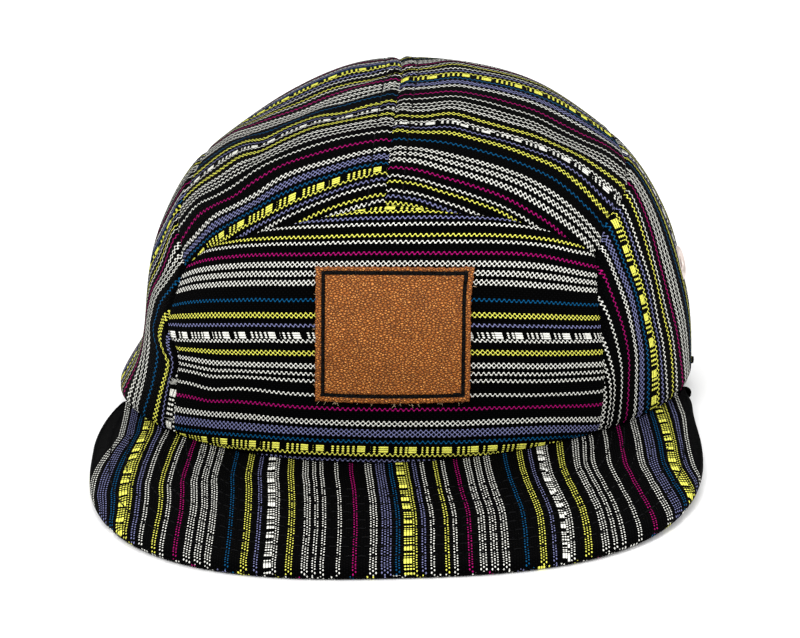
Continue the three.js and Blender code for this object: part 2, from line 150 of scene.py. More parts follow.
@dataclass(frozen=True)
class CrownForm:
    """The outside of the crown, by an angle around it and a rise from its hem to its pole.

    An angle of 0 is the front and a positive one turns towards +X. A rise of 0 is the hem.
    """

    half_left: float = 83.7
    half_right: float = 89.7
    reach_front: float = 90.7
    reach_back: float = 100.6
    centre_y: float = -4.6
    height: float = 100.3
    pole_shift: Pair = (2.6, -0.9)
    round_front: float = 2.76
    round_left: float = 1.96
    round_right: float = 2.35
    round_back: float = 2.6
    roll: float = 1.9
    pitch: float = 0.96
    pivot_y: float = 96.0
    floor_gap: float = 0.08
    hem: Table = (
        (-180, -0.4), (-150, -1.6), (-135, -1.9), (-110, 1.8), (-90, 6.3), (-70, 8.2), (-40, 9.5),
        (0, 11.2), (40, 12.7), (70, 11.8), (90, 9.8), (110, 7.2), (135, 2.2), (150, 1.3), (180, -0.4),
    )
    sags: tuple[Sag, ...] = (
        Sag(-96, 24.5, 30, 22, (8.7, 0, 0)),
        Sag(-88, 6, 26, 11, (-3.2, 0, 0)),
        Sag(-100, 86, 42, 14, (0.4, 0, -1.1)),
        Sag(95, 88, 60, 20, (0.8, 0, 1.1)),
        Sag(-78, 98, 50, 8, (0, 0, -4.3)),
        Sag(68, 98, 45, 7, (0, 0, 1.4)),
        Sag(75, 86, 40, 9, (0, 0, -3.1)),
        Sag(-97, 69, 34, 9, (-0.2, 0, 1.7)),
    )

    def hem_height(self, angle: Array | float) -> Array:
        """Returns the height of the hem at an angle."""
        return smooth_table(self.hem, angle)

    def roundness(self, angle: Array) -> Array:
        """Finds how square the crown's profile is.

        Args:
            angle: Angles around the crown.

        Returns:
            The power of the profile at each angle, 2 where it is round.
        """
        cosine = np.cos(np.radians(angle))
        front, back = np.maximum(cosine, 0) ** 2, np.maximum(-cosine, 0) ** 2
        side = np.where(angle < 0, self.round_left, self.round_right)
        return self.round_front * front + self.round_back * back + side * (1 - front - back)

    def lay_down(self, points: Array) -> Array:
        """Turns points of the upright crown into their places as it lies on the floor.

        Args:
            points: Places on the upright crown, in millimetres.

        Returns:
            The same places on the crown as it lies, none of them under the floor.
        """
        roll, pitch = math.radians(self.roll), math.radians(self.pitch)
        x, y, z = points[..., 0], points[..., 1] - self.pivot_y, points[..., 2]
        x, z = x * math.cos(roll) + z * math.sin(roll), z * math.cos(roll) - x * math.sin(roll)
        y, z = y * math.cos(pitch) - z * math.sin(pitch), y * math.sin(pitch) + z * math.cos(pitch)
        return np.stack([x, y + self.pivot_y, np.maximum(z, 0)], axis=-1)

    def upright(self, angle: Array | float, rise: Array | float) -> Array:
        """Finds places on the outside of the crown before it is laid down.

        Args:
            angle: Angles around the crown.
            rise: Rises from the hem at 0 to the pole at 1.

        Returns:
            A grid of places in millimetres.
        """
        angle, rise = np.broadcast_arrays(np.asarray(angle, float), np.asarray(rise, float))
        turn = np.radians(angle)
        power = 2 / self.roundness(angle)
        spread = np.maximum(np.cos(rise * math.pi / 2), 0) ** power
        climb = np.maximum(np.sin(rise * math.pi / 2), 0) ** power
        hem = self.hem_height(angle)
        half = np.where(angle < 0, self.half_left, self.half_right)
        reach = np.where(np.cos(turn) > 0, self.reach_front, self.reach_back)
        x = half * np.sin(turn) * spread + self.pole_shift[0] * climb**2
        y = self.centre_y - reach * np.cos(turn) * spread + self.pole_shift[1] * climb**2
        z = hem + (self.height - hem) * climb
        points = np.stack([x, y, z], axis=-1)
        for sag in self.sags:
            near = bell(z - sag.height, sag.spread_height) * bell(angle - sag.angle, sag.spread_angle)
            points = points + (near * (1 - rise**6))[..., None] * np.array(sag.push, dtype=float)
        points[..., 2] = np.maximum(points[..., 2], hem)
        return points

    def point(self, angle: Array | float, rise: Array | float) -> Array:
        """Returns places on the outside of the crown as it lies, in millimetres."""
        return self.lay_down(self.upright(angle, rise))

    def foot_height(self, angle: Array) -> Array:
        """Finds the lowest cloth that stands clear of the floor.

        Args:
            angle: Angles around the crown.

        Returns:
            Its height on the upright crown at each angle.
        """
        hem = self.upright(angle, 0.0)
        roll, pitch = math.radians(self.roll), math.radians(self.pitch)
        level = (self.floor_gap - (hem[..., 1] - self.pivot_y) * math.sin(pitch)) / math.cos(pitch)
        return np.maximum(hem[..., 2], (level + hem[..., 0] * math.sin(roll)) / math.cos(roll))

    def rise_at(self, angle: Array | float, height: Array | float) -> Array:
        """Finds the rise at which the upright crown has a height.

        Args:
            angle: Angles around the crown.
            height: The heights wanted.

        Returns:
            The rise at each angle.
        """
        hem = self.hem_height(angle)
        climb = np.clip((height - hem) / (self.height - hem), 0, 1)
        return np.arcsin(climb ** (self.roundness(angle) / 2)) / (math.pi / 2)

    def climb(self, angle: Array, rise: Array) -> Array:
        """Finds how much cloth lies under each place, straight down to the level of 0.

        Args:
            angle: Angles around the crown.
            rise: Rises of the same places.

        Returns:
            The length of cloth up from the hem, and the height of the hem with it.
        """
        line = self.point(angle[..., None], rise[..., None] * np.linspace(0, 1, 40))
        return self.hem_height(angle) + np.linalg.norm(np.diff(line, axis=-2), axis=-1).sum(axis=-1)

    def normal(self, angle: Array | float, rise: Array | float) -> Array:
        """Finds the directions that point out of the crown.

        Args:
            angle: Angles around the crown.
            rise: Rises of the same places.

        Returns:
            One direction for each place, 1 long.
        """
        step = 0.004
        angle, rise = np.broadcast_arrays(np.asarray(angle, float), np.asarray(rise, float))
        low = np.clip(rise, step, 0.93)
        around = self.point(angle + 0.4, low) - self.point(angle - 0.4, low)
        upward = self.point(angle, low + step) - self.point(angle, low - step)
        near_pole = np.clip((rise - 0.86) / 0.14, 0, 1)
        share = (near_pole**2 * (3 - 2 * near_pole))[..., None]
        return unit(mix(unit(np.cross(around, upward)), np.array([0.0, 0.0, 1.0]), share))

    def spot(self, angle: Array | float, height: Array | float) -> tuple[Array, Array]:
        """Returns places at heights on the upright crown, and the directions out of it there."""
        rise = self.rise_at(angle, height)
        return self.point(angle, rise), self.normal(angle, rise)

    def angle_at_x(self, x: Array, height: Array) -> Array:
        """Finds where the front of the crown is as far to the side as wanted.

        Args:
            x: Wanted places along X, as the crown lies.
            height: Heights on the upright crown.

        Returns:
            The angles of those places.
        """
        angle = np.zeros_like(x)
        for _ in range(6):
            here = self.point(angle, self.rise_at(angle, height))[..., 0]
            beside = self.point(angle + 1, self.rise_at(angle + 1, height))[..., 0]
            angle = angle + (x - here) / (beside - here)
        return angle


@dataclass(frozen=True)
class PanelCut:
    """Where the crown is cut into its five panels, in degrees and upright heights.

    The centre seam starts at the height of its foot, and its hub is the Y and Z that it turns around.
    """

    centre_seam: float = -4.3
    seam_foot: float = 78.6
    seam_hub: Pair = (-5.0, -10.0)
    front_top: Table = (
        (-54, 54.7), (-47, 62.4), (-36, 68), (-21, 74.2), (-4, 78.6), (12, 76.5), (23, 73.9), (35, 67.6),
        (42.5, 61),
    )
    left_shoulder: Table = (
        (-180, 54), (-150, 59), (-125, 66.5), (-105, 71), (-90, 71.5), (-78, 68.5), (-67, 61.5), (-60, 59),
        (-54, 54.7),
    )
    right_shoulder: Table = (
        (42.5, 61), (48, 67.9), (54, 70.2), (63, 72.9), (71.5, 75.8), (80, 77.9), (100, 79), (125, 73),
        (150, 63), (180, 54),
    )
    front_left: Table = ((0, -49.5), (0.3, -49.3), (0.45, -49.6), (0.63, -55), (0.8, -54.6), (1, -54))
    front_right: Table = ((0, 39.2), (0.3, 40.4), (0.45, 40.2), (0.63, 40.2), (0.8, 40.6), (1, 42.5))

    def seam_height(self, angle: Array) -> Array:
        """Finds the height of the seam over the front and side panels.

        Args:
            angle: Angles around the crown.

        Returns:
            The height of the seam at each angle, on the upright crown.
        """
        front = smooth_table(self.front_top, angle)
        left = smooth_table(self.left_shoulder, angle)
        right = smooth_table(self.right_shoulder, angle)
        ahead = np.where(angle > self.front_top[-1][0], right, front)
        return np.where(angle < self.front_top[0][0], left, ahead)


@dataclass(frozen=True)
class Arch:
    """The opening at the back of the crown, in millimetres."""

    half_width: float = 35.0
    height: float = 42.0
    squareness: float = 2.3

    def outline(self, turn: Array, grow: float = 0.0) -> tuple[Array, Array]:
        """Returns places across and heights along the outline, moved out by a distance."""
        across = (self.half_width + grow) * -signed_power(np.cos(turn), 2 / self.squareness)
        return across, (self.height + grow) * np.sin(turn) ** (2 / self.squareness)


RIGHT_EYELET = (84.0, 44.3)
LEFT_EYELET = (-104.0, 46.0)


# Meshes


@dataclass
class SurfaceGrid:
    """A grid of places on one side of a sheet, with what its cloth needs to know."""

    angle: Array
    rise: Array
    point: Array
    normal: Array
    along: Array
    up: Array


@dataclass(frozen=True)
class SeamPath:
    """A line of places on a surface, and the direction out of the surface at each."""

    points: Array
    normals: Array

    def at(self, distances: Array) -> tuple[Array, Array]:
        """Reads the line at distances from its start.

        Args:
            distances: The distances along it, in millimetres.

        Returns:
            The places and the directions there.
        """
        length = length_along(self.points, 0)
        places = [np.interp(distances, length, self.points[:, axis]) for axis in range(3)]
        normals = [np.interp(distances, length, self.normals[:, axis]) for axis in range(3)]
        return np.stack(places, axis=-1), unit(np.stack(normals, axis=-1))


def make_object(
    name: str, points: Array, faces: Faces, weave: Array | None = None, sharp_angle: float = 50.0
) -> Object:
    """Makes a smooth mesh object.

    Args:
        name: The object's name.
        points: Its vertices, in millimetres on the crown's form, in any shape of grid.
        faces: Its faces, as lists of vertex numbers.
        weave: The surface coordinates of each vertex, in the same shape of grid.
        sharp_angle: Edges that turn more than this many degrees stay sharp.

    Returns:
        The new object, in metres in the row frame.
    """
    mesh = bpy.data.meshes.new(name)
    mesh.from_pydata(in_row_frame(points).reshape(-1, 3).tolist(), [], faces)
    if weave is not None:
        layer = mesh.uv_layers.new(name=SURFACE_UV)
        loops = np.zeros(len(mesh.loops), dtype=np.int32)
        mesh.loops.foreach_get("vertex_index", loops)
        layer.data.foreach_set("uv", weave.reshape(-1, 2)[loops].astype(np.float32).ravel())
    mesh.validate()
    mesh.polygons.foreach_set("use_smooth", [True] * len(mesh.polygons))
    mesh.set_sharp_from_angle(angle=math.radians(sharp_angle))
    mesh.update()
    obj = bpy.data.objects.new(name, mesh)
    bpy.context.scene.collection.objects.link(obj)
    return obj


def grid_faces(shape: tuple[int, ...], start: int = 0, flip: bool = False) -> Faces:
    """Lists the faces of a grid of vertices.

    Args:
        shape: How many vertices the grid is long and wide, and anything after.
        start: The number of its first vertex.
        flip: Whether the faces turn the other way.

    Returns:
        The four vertex numbers of each face.
    """
    index = start + np.arange(shape[0] * shape[1]).reshape(shape[:2])
    corners = (index[:-1, :-1], index[1:, :-1], index[1:, 1:], index[:-1, 1:])
    return np.stack(corners[::-1] if flip else corners, axis=-1).reshape(-1, 4).tolist()


def shell_faces(shape: tuple[int, ...]) -> Faces:
    """Lists the faces of a closed shell: an outer grid, an inner grid and the rim between.

    Args:
        shape: How many vertices each grid is long and wide, and anything after.

    Returns:
        The four vertex numbers of each face.
    """
    count = shape[0] * shape[1]
    index = np.arange(count).reshape(shape[:2])
    rim = np.concatenate([index[:, 0], index[-1, 1:], index[-2::-1, -1], index[0, -2:0:-1]])
    after = np.roll(rim, -1)
    sides = np.stack([rim, rim + count, after + count, after], axis=-1).tolist()
    return grid_faces(shape) + grid_faces(shape, count, flip=True) + sides


def tube_faces(rings: int, corners: int, start: int = 0, closed: bool = False) -> Faces:
    """Lists the faces of a tube.

    Args:
        rings: How many rings of corners it has.
        corners: How many corners each ring has.
        start: The number of its first vertex.
        closed: Whether its last ring joins its first. Otherwise both ends are capped.

    Returns:
        The vertex numbers of each face.
    """
    index = start + np.arange(rings * corners).reshape(rings, corners)
    low, high = index, np.roll(index, -1, axis=0)
    if not closed:
        low, high = low[:-1], high[:-1]
    around = (low, np.roll(low, -1, axis=1), np.roll(high, -1, axis=1), high)
    faces = np.stack(around, axis=-1).reshape(-1, 4).tolist()
    return faces if closed else faces + [index[0, ::-1].tolist(), index[-1].tolist()]


def cut_away(obj: Object, cutter: Object) -> None:
    """Cuts the shape of one mesh object out of another, and removes the cutter.

    Args:
        obj: The object to cut.
        cutter: A closed object in the shape of the hole.
    """
    modifier = obj.modifiers.new("cut", "BOOLEAN")
    modifier.operation = "DIFFERENCE"
    modifier.solver = "EXACT"
    modifier.object = cutter
    bpy.context.view_layer.update()
    graph = bpy.context.evaluated_depsgraph_get()
    cut = bpy.data.meshes.new_from_object(obj.evaluated_get(graph))
    obj.modifiers.clear()
    obj.data = cut
    bpy.data.objects.remove(cutter)


def dress(obj: Object, finish: Material, node: str = "") -> Object:
    """Gives a piece its finish and lets it ride on the cap.

    Args:
        obj: The piece.
        finish: Its material.
        node: The solid that it stands for, if there is one.

    Returns:
        The piece.
    """
    obj.data.materials.clear()
    obj.data.materials.append(finish)
    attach(obj, "root")
    if node:
        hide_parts(node)
    return obj


# Shader nodes


class NodeTree:
    """Short calls that add and link the nodes of one shader tree."""

    def __init__(self, tree: ShaderNodeTree) -> None:
        """Keeps the tree that the calls write to."""
        self.tree = tree

    def feed(self, target: NodeSocket, source: Socket | Sequence[float]) -> None:
        """Gives an input its value.

        Args:
            target: The input.
            source: A socket to link it to, or a plain value.
        """
        if isinstance(source, NodeSocket):
            self.tree.links.new(source, target)
        else:
            target.default_value = source

    def add(self, kind: str, *values: Socket | Sequence[float], **settings: object) -> Node:
        """Adds a node.

        Args:
            kind: Its type.
            *values: Sockets or plain values for its first inputs.
            **settings: Its settings by name.

        Returns:
            The node.
        """
        node = self.tree.nodes.new(kind)
        for name, value in settings.items():
            setattr(node, name, value)
        for target, value in zip(node.inputs, values):
            self.feed(target, value)
        return node

    def fill(self, node: Node, values: dict[str, Socket | Sequence[float]]) -> Node:
        """Gives inputs of a node their values.

        Args:
            node: The node.
            values: Sockets or plain values by the names of the inputs.

        Returns:
            The node.
        """
        for name, value in values.items():
            self.feed(node.inputs[name], value)
        return node

    def math(self, operation: str, *values: Socket) -> NodeSocket:
        """Returns what a Math node makes of the values."""
        return self.add("ShaderNodeMath", *values, operation=operation).outputs[0]

    def square(self, value: Socket) -> NodeSocket:
        """Returns the value times itself."""
        return self.math("MULTIPLY", value, value)

    def blend(self, share: Socket, first: Socket | Colour, second: Socket | Colour) -> NodeSocket:
        """Mixes two colours.

        Args:
            share: The share of the second one.
            first: One colour.
            second: The other.

        Returns:
            The colour between them.
        """
        node = self.add("ShaderNodeMix", share, data_type="RGBA")
        self.feed(node.inputs[6], first)
        self.feed(node.inputs[7], second)
        return node.outputs[2]

    def shade(self, colour: Socket, amount: Socket) -> NodeSocket:
        """Returns the colour made darker or lighter by an amount."""
        rest = ((0, 0, 0), (0, 0, 0))
        return self.add("ShaderNodeVectorMath", colour, *rest, amount, operation="SCALE").outputs[0]

    def ramp(self, value: Socket, *limits: float) -> NodeSocket:
        """Returns the value moved smoothly from the first two limits into the last two."""
        return self.add("ShaderNodeMapRange", value, *limits, interpolation_type="SMOOTHSTEP").outputs[0]

    def vector(self, *values: Socket) -> NodeSocket:
        """Returns a vector of up to three values."""
        return self.add("ShaderNodeCombineXYZ", *values).outputs[0]

    def split(self, vector: Socket) -> tuple[NodeSocket, NodeSocket]:
        """Returns the first two values of a vector."""
        return tuple(self.add("ShaderNodeSeparateXYZ", vector).outputs[:2])

    def noise(self, place: Socket, scale: Socket, detail: float = 2.0) -> NodeSocket:
        """Returns smooth noise from 0 to 1 at a place."""
        return self.add("ShaderNodeTexNoise", place, 0.0, scale, detail).outputs["Fac"]

    def chance(self, place: Socket) -> NodeSocket:
        """Returns a random number from 0 to 1 that is fixed for each place."""
        return self.add("ShaderNodeTexWhiteNoise", place, noise_dimensions="2D").outputs["Value"]

    def group(self, group: ShaderNodeTree, **values: Socket | Sequence[float]) -> Node:
        """Places a node group.

        Args:
            group: The group.
            **values: Sockets or plain values for its inputs, by name.

        Returns:
            Its node.
        """
        return self.fill(self.add("ShaderNodeGroup", node_tree=group), values)


class EffectGroup:
    """A shader node group with named inputs and outputs, built once."""

    def __init__(self, name: str, inputs: Sequence[str], outputs: Sequence[str]) -> None:
        """Makes an empty group.

        Args:
            name: The group's name.
            inputs: The names of its inputs.
            outputs: The names of its outputs. Place is a vector, Colour a colour, the rest are values.
        """
        self.tree = bpy.data.node_groups.new(name, "ShaderNodeTree")
        for way, labels in (("INPUT", inputs), ("OUTPUT", outputs)):
            for label in labels:
                kind = SOCKET_KINDS.get(label, "NodeSocketFloat")
                self.tree.interface.new_socket(name=label, in_out=way, socket_type=kind)
        self.nodes = NodeTree(self.tree)
        self.inputs = self.nodes.add("NodeGroupInput").outputs
        self.outputs = self.nodes.add("NodeGroupOutput").inputs

    def put_out(self, **sources: NodeSocket) -> ShaderNodeTree:
        """Links the group's outputs.

        Args:
            **sources: What each output puts out, by name.

        Returns:
            The group's tree.
        """
        for name, source in sources.items():
            self.nodes.feed(self.outputs[name], source)
        return self.tree


def handled_group() -> ShaderNodeTree:
    """Builds the uneven tone of a used surface as a shader node group.

    Returns:
        The group, which turns a place into a tone about 1 and a fine roughness from 0 to 1.
    """
    effect = EffectGroup("handled_surface", ("Place", "Scale", "Amount"), ("Tone", "Fine"))
    n, place, scale = effect.nodes, effect.inputs["Place"], effect.inputs["Scale"]
    fine = n.noise(place, n.math("MULTIPLY", scale, 9.0))
    both = n.math("MULTIPLY_ADD", fine, 0.4, n.noise(place, scale, 3.0))
    tone = n.math("MULTIPLY_ADD", n.math("SUBTRACT", both, 0.7), effect.inputs["Amount"], 1.0)
    return effect.put_out(Tone=tone, Fine=fine)


# The woven cloth


class Yarn(Enum):
    """The dyed yarns of the cloth, as linear colours."""

    BLACK = (0.0007, 0.0007, 0.0008, 1.0)
    ECRU = (0.84, 0.84, 0.77, 1.0)
    LIME = (0.82, 0.81, 0.12, 1.0)
    MAGENTA = (0.38, 0.005, 0.14, 1.0)
    TEAL = (0.004, 0.085, 0.21, 1.0)
    LAVENDER = (0.2, 0.21, 0.4, 1.0)


@dataclass(frozen=True)
class Stripe:
    """One stripe of the repeat: its first row, how many rows it has, and its yarn."""

    first_row: int
    rows: int
    yarn: Yarn
    blotched: bool = False


@dataclass(frozen=True)
class StripedCloth:
    """A coarse plain weave: black yarns crossed by rows of black and coloured ones.

    Places along a row are counted in yarns, and places across it go from -0.5 to 0.5. Each part
    of a yarn that shows is a height that is 1 in its middle and 0 at its edge, and its colour is
    painted darker towards that edge as shade.
    """

    repeat: int = 108
    ramps: int = 2
    pip_period: float = 1.44
    over_half: Pair = (0.25, 0.31)
    under_half: Pair = (0.3, 0.6)
    bar_half: Pair = (0.29, 0.45)
    link_half: float = 0.24
    link_height: float = 0.65
    blotch_cell: float = 5.4
    block_length: float = 1.5
    stripes: tuple[Stripe, ...] = (
        Stripe(0, 1, Yarn.LAVENDER), Stripe(2, 2, Yarn.ECRU), Stripe(7, 2, Yarn.LIME),
        Stripe(10, 2, Yarn.ECRU), Stripe(15, 2, Yarn.MAGENTA), Stripe(19, 3, Yarn.ECRU),
        Stripe(23, 3, Yarn.ECRU), Stripe(27, 3, Yarn.ECRU), Stripe(35, 2, Yarn.TEAL),
        Stripe(41, 3, Yarn.LIME), Stripe(46, 2, Yarn.LAVENDER), Stripe(50, 3, Yarn.ECRU, blotched=True),
        Stripe(53, 2, Yarn.ECRU), Stripe(58, 3, Yarn.LIME), Stripe(64, 3, Yarn.ECRU),
        Stripe(68, 2, Yarn.ECRU), Stripe(71, 2, Yarn.ECRU), Stripe(77, 2, Yarn.ECRU),
        Stripe(83, 2, Yarn.MAGENTA), Stripe(89, 3, Yarn.ECRU), Stripe(93, 4, Yarn.LAVENDER),
        Stripe(98, 2, Yarn.TEAL), Stripe(101, 3, Yarn.LIME, blotched=True), Stripe(104, 2, Yarn.LIME),
        Stripe(107, 1, Yarn.LAVENDER),
    )

    def row_colours(self) -> list[Colour]:
        """Lists the colour of each row.

        Returns:
            The colours, with an alpha of 1 if coloured, 0.5 if black and 0 if in blotches.
        """
        colours = [(*Yarn.BLACK.value[:3], 0.5)] * self.repeat
        for stripe in self.stripes:
            alpha = 0.0 if stripe.blotched else 1.0
            colours[stripe.first_row : stripe.first_row + stripe.rows] = [
                (*stripe.yarn.value[:3], alpha)
            ] * stripe.rows
        return colours

    def row_ramp(self, n: NodeTree, part: int, place: Socket) -> Node:
        """Adds a ramp that holds the colours of one part of the repeat.

        Args:
            n: The tree to add it to.
            part: Which part of the repeat it holds.
            place: The place in that part, from 0 to 1.

        Returns:
            The ramp node.
        """
        rows = self.repeat // self.ramps
        colours = self.row_colours()[part * rows : (part + 1) * rows]
        node = n.add("ShaderNodeValToRGB", place)
        ramp = node.color_ramp
        ramp.interpolation = "CONSTANT"
        ramp.elements.remove(ramp.elements[1])
        ramp.elements[0].position = 0
        ramp.elements[0].color = colours[0]
        for row in range(1, rows):
            if colours[row] != colours[row - 1]:
                ramp.elements.new(row / rows).color = colours[row]
        return node

    def dyed_colour(self, n: NodeTree, number: Socket) -> tuple[NodeSocket, NodeSocket]:
        """Adds the ramps that hold the colours of the repeat.

        Args:
            n: The tree to add them to.
            number: The number of the row.

        Returns:
            The row's colour, and its kind: 1 coloured all along, 0 in blotches and 0.5 black.
        """
        turn = n.math("FRACT", n.math("DIVIDE", n.math("ADD", number, 0.5), float(self.repeat)))
        spread = n.math("MULTIPLY", turn, float(self.ramps))
        first = self.row_ramp(n, 0, spread)
        second = self.row_ramp(n, 1, n.math("SUBTRACT", spread, 1.0))
        late = n.math("GREATER_THAN", spread, 1.0)
        change = n.math("SUBTRACT", second.outputs[1], first.outputs[1])
        kind = n.math("MULTIPLY_ADD", late, change, first.outputs[1])
        return n.blend(late, first.outputs[0], second.outputs[0]), kind

    def pip(self, n: NodeTree, phase: Socket, across: Socket, half: Pair) -> NodeSocket:
        """Adds the round back of a yarn where it comes up out of the weave.

        Args:
            n: The tree to add it to.
            phase: The place along the row.
            across: The place across the row.
            half: Half of the shown length, and half of the width.

        Returns:
            The height of the yarn.
        """
        beside = n.math("SUBTRACT", n.math("FRACT", phase), 0.5)
        length = n.square(n.math("DIVIDE", beside, half[0]))
        width = n.square(n.math("DIVIDE", across, half[1]))
        return n.math("SUBTRACT", 1.0, n.math("ADD", length, width))

    def link(self, n: NodeTree, phase: Socket, across: Socket, joined: Socket) -> NodeSocket:
        """Adds the slanting runs between the yarn backs of two rows of the same stripe.

        Args:
            n: The tree to add them to.
            phase: The place along the row.
            across: The place across the row.
            joined: 1 where the next row on that side is coloured all along.

        Returns:
            The height of the yarn.
        """
        beside = n.math("ABSOLUTE", n.math("SUBTRACT", n.math("FRACT", phase), 0.5))
        off = n.math("SUBTRACT", n.math("ABSOLUTE", across), n.math("MULTIPLY", beside, 2.0))
        hollow = n.square(n.math("DIVIDE", off, self.link_half))
        return n.math("MULTIPLY", n.math("SUBTRACT", self.link_height, hollow), joined)

    def blotches(self, n: NodeTree, steps: Socket, across: Socket, row: Socket) -> NodeSocket:
        """Adds the yarn that was dyed in blotches, as bars with a solid block and a gap at times.

        Args:
            n: The tree to add it to.
            steps: The place along the row.
            across: The place across the row.
            row: The place across the cloth, in rows.

        Returns:
            The height of the yarn.
        """
        bars = self.pip(n, steps, across, self.bar_half)
        cells = n.math("DIVIDE", steps, self.blotch_cell)
        inside = n.math("MULTIPLY", n.math("FRACT", cells), self.blotch_cell)
        band = n.math("FLOOR", n.math("DIVIDE", row, 40.0))
        luck = n.chance(n.vector(n.math("FLOOR", cells), band))
        start = n.math("MULTIPLY", luck, self.blotch_cell - self.block_length - 1.0)
        past = n.math("SUBTRACT", inside, start)
        block = n.math("COMPARE", past, self.block_length / 2, self.block_length / 2)
        gap = n.math("COMPARE", past, self.block_length + 0.5, 0.5)
        ridge = n.math("SUBTRACT", 1.0, n.square(n.math("MULTIPLY", across, 2.2)))
        raised = n.math("MAXIMUM", bars, n.math("MULTIPLY", block, ridge))
        return n.math("MULTIPLY", raised, n.math("SUBTRACT", 1.0, gap))

    def build_group(self) -> ShaderNodeTree:
        """Builds the weave as a shader node group.

        Returns:
            The group, which turns a place in the cloth into its colour and its height.
        """
        inputs = ("Along", "Row", "Fading", "Links")
        effect = EffectGroup("woven_stripes", inputs, ("Colour", "Height"))
        n = effect.nodes
        along, row = effect.inputs["Along"], effect.inputs["Row"]
        drift = n.math("MULTIPLY_ADD", n.noise(n.vector(along, row), 0.1), 0.36, -0.18)
        sway = n.math("MULTIPLY_ADD", n.noise(n.vector(row, along), 0.11), 0.5, -0.25)
        row = n.math("ADD", row, sway)
        number = n.math("FLOOR", row)
        across = n.math("SUBTRACT", n.math("SUBTRACT", row, number), 0.5)
        steps = n.math("DIVIDE", n.math("ADD", along, drift), self.pip_period)
        shifted = n.math("MULTIPLY_ADD", n.math("FLOORED_MODULO", number, 2.0), 0.5, steps)
        over = self.pip(n, shifted, across, self.over_half)
        under = self.pip(n, n.math("ADD", shifted, 0.5), across, self.under_half)
        blotch = self.blotches(n, steps, across, row)
        dyed, kind = self.dyed_colour(n, number)
        _, next_kind = self.dyed_colour(n, n.math("ADD", number, n.math("SIGN", across)))
        joined = n.math("MULTIPLY", n.math("GREATER_THAN", next_kind, 0.75), effect.inputs["Links"])
        plain = n.math("MAXIMUM", over, self.link(n, shifted, across, joined))
        whole = n.math("GREATER_THAN", kind, 0.25)
        lit = n.math("MULTIPLY_ADD", whole, n.math("SUBTRACT", plain, blotch), blotch)
        tone = n.math("MULTIPLY_ADD", n.chance(n.vector(n.math("FLOOR", shifted), number)), 0.22, 0.84)
        # Painted shade and highlight: each yarn back is darker towards its edge, where it dips into the
        # weave, and a little lighter in its middle, on top of its random tone.
        rounded = n.math("MULTIPLY", tone, n.ramp(lit, 0.0, 0.7, 0.6, 1.06))
        # Painted shade: the yarn colours of a whole panel are dimmed here by a factor below 1.
        tone_with_painted_shade = n.math("MULTIPLY", rounded, effect.inputs["Fading"])
        # Painted sheen and shade: the black crossing yarns are lighter in their middles and darker between
        # them.
        ground_with_painted_sheen = n.shade(n.vector(*Yarn.BLACK.value[:3]), n.ramp(under, 0.0, 1.0, 0.3, 2.0))
        colour = n.blend(n.ramp(lit, 0.08, 0.38, 0.0, 1.0), ground_with_painted_sheen, n.shade(dyed, tone_with_painted_shade))
        height = n.math("MAXIMUM", n.math("MAXIMUM", over, under), 0.0)
        return effect.put_out(Colour=colour, Height=height)


@dataclass(frozen=True)
class StripeLay:
    """How the rows of the weave lie on a panel.

    The stations are shares or distances along the rows. Each line is a row and its place at every
    station. Between the lines the rows are even.
    """

    stations: tuple[float, ...]
    lines: tuple[tuple[float, tuple[float, ...]], ...]

    def row_at(self, station: Array, place: Array) -> Array:
        """Finds which row of the weave passes through each place.

        Args:
            station: How far along the rows each place is.
            place: Where each place is across the rows.

        Returns:
            The row numbers, with fractions.
        """
        curves = np.stack(
            [smooth_table(tuple(zip(self.stations, places)), station) for _, places in self.lines]
        )
        numbers = np.array([row for row, _ in self.lines], dtype=float)
        falling = self.lines[-1][1][0] < self.lines[0][1][0]
        passed = (place <= curves) if falling else (place >= curves)
        low = np.clip(passed.sum(axis=0) - 1, 0, len(numbers) - 2)
        start = np.take_along_axis(curves, low[None], axis=0)[0]
        end = np.take_along_axis(curves, low[None] + 1, axis=0)[0]
        return mix(numbers[low], numbers[low + 1], (place - start) / (end - start))


# The pieces of cloth


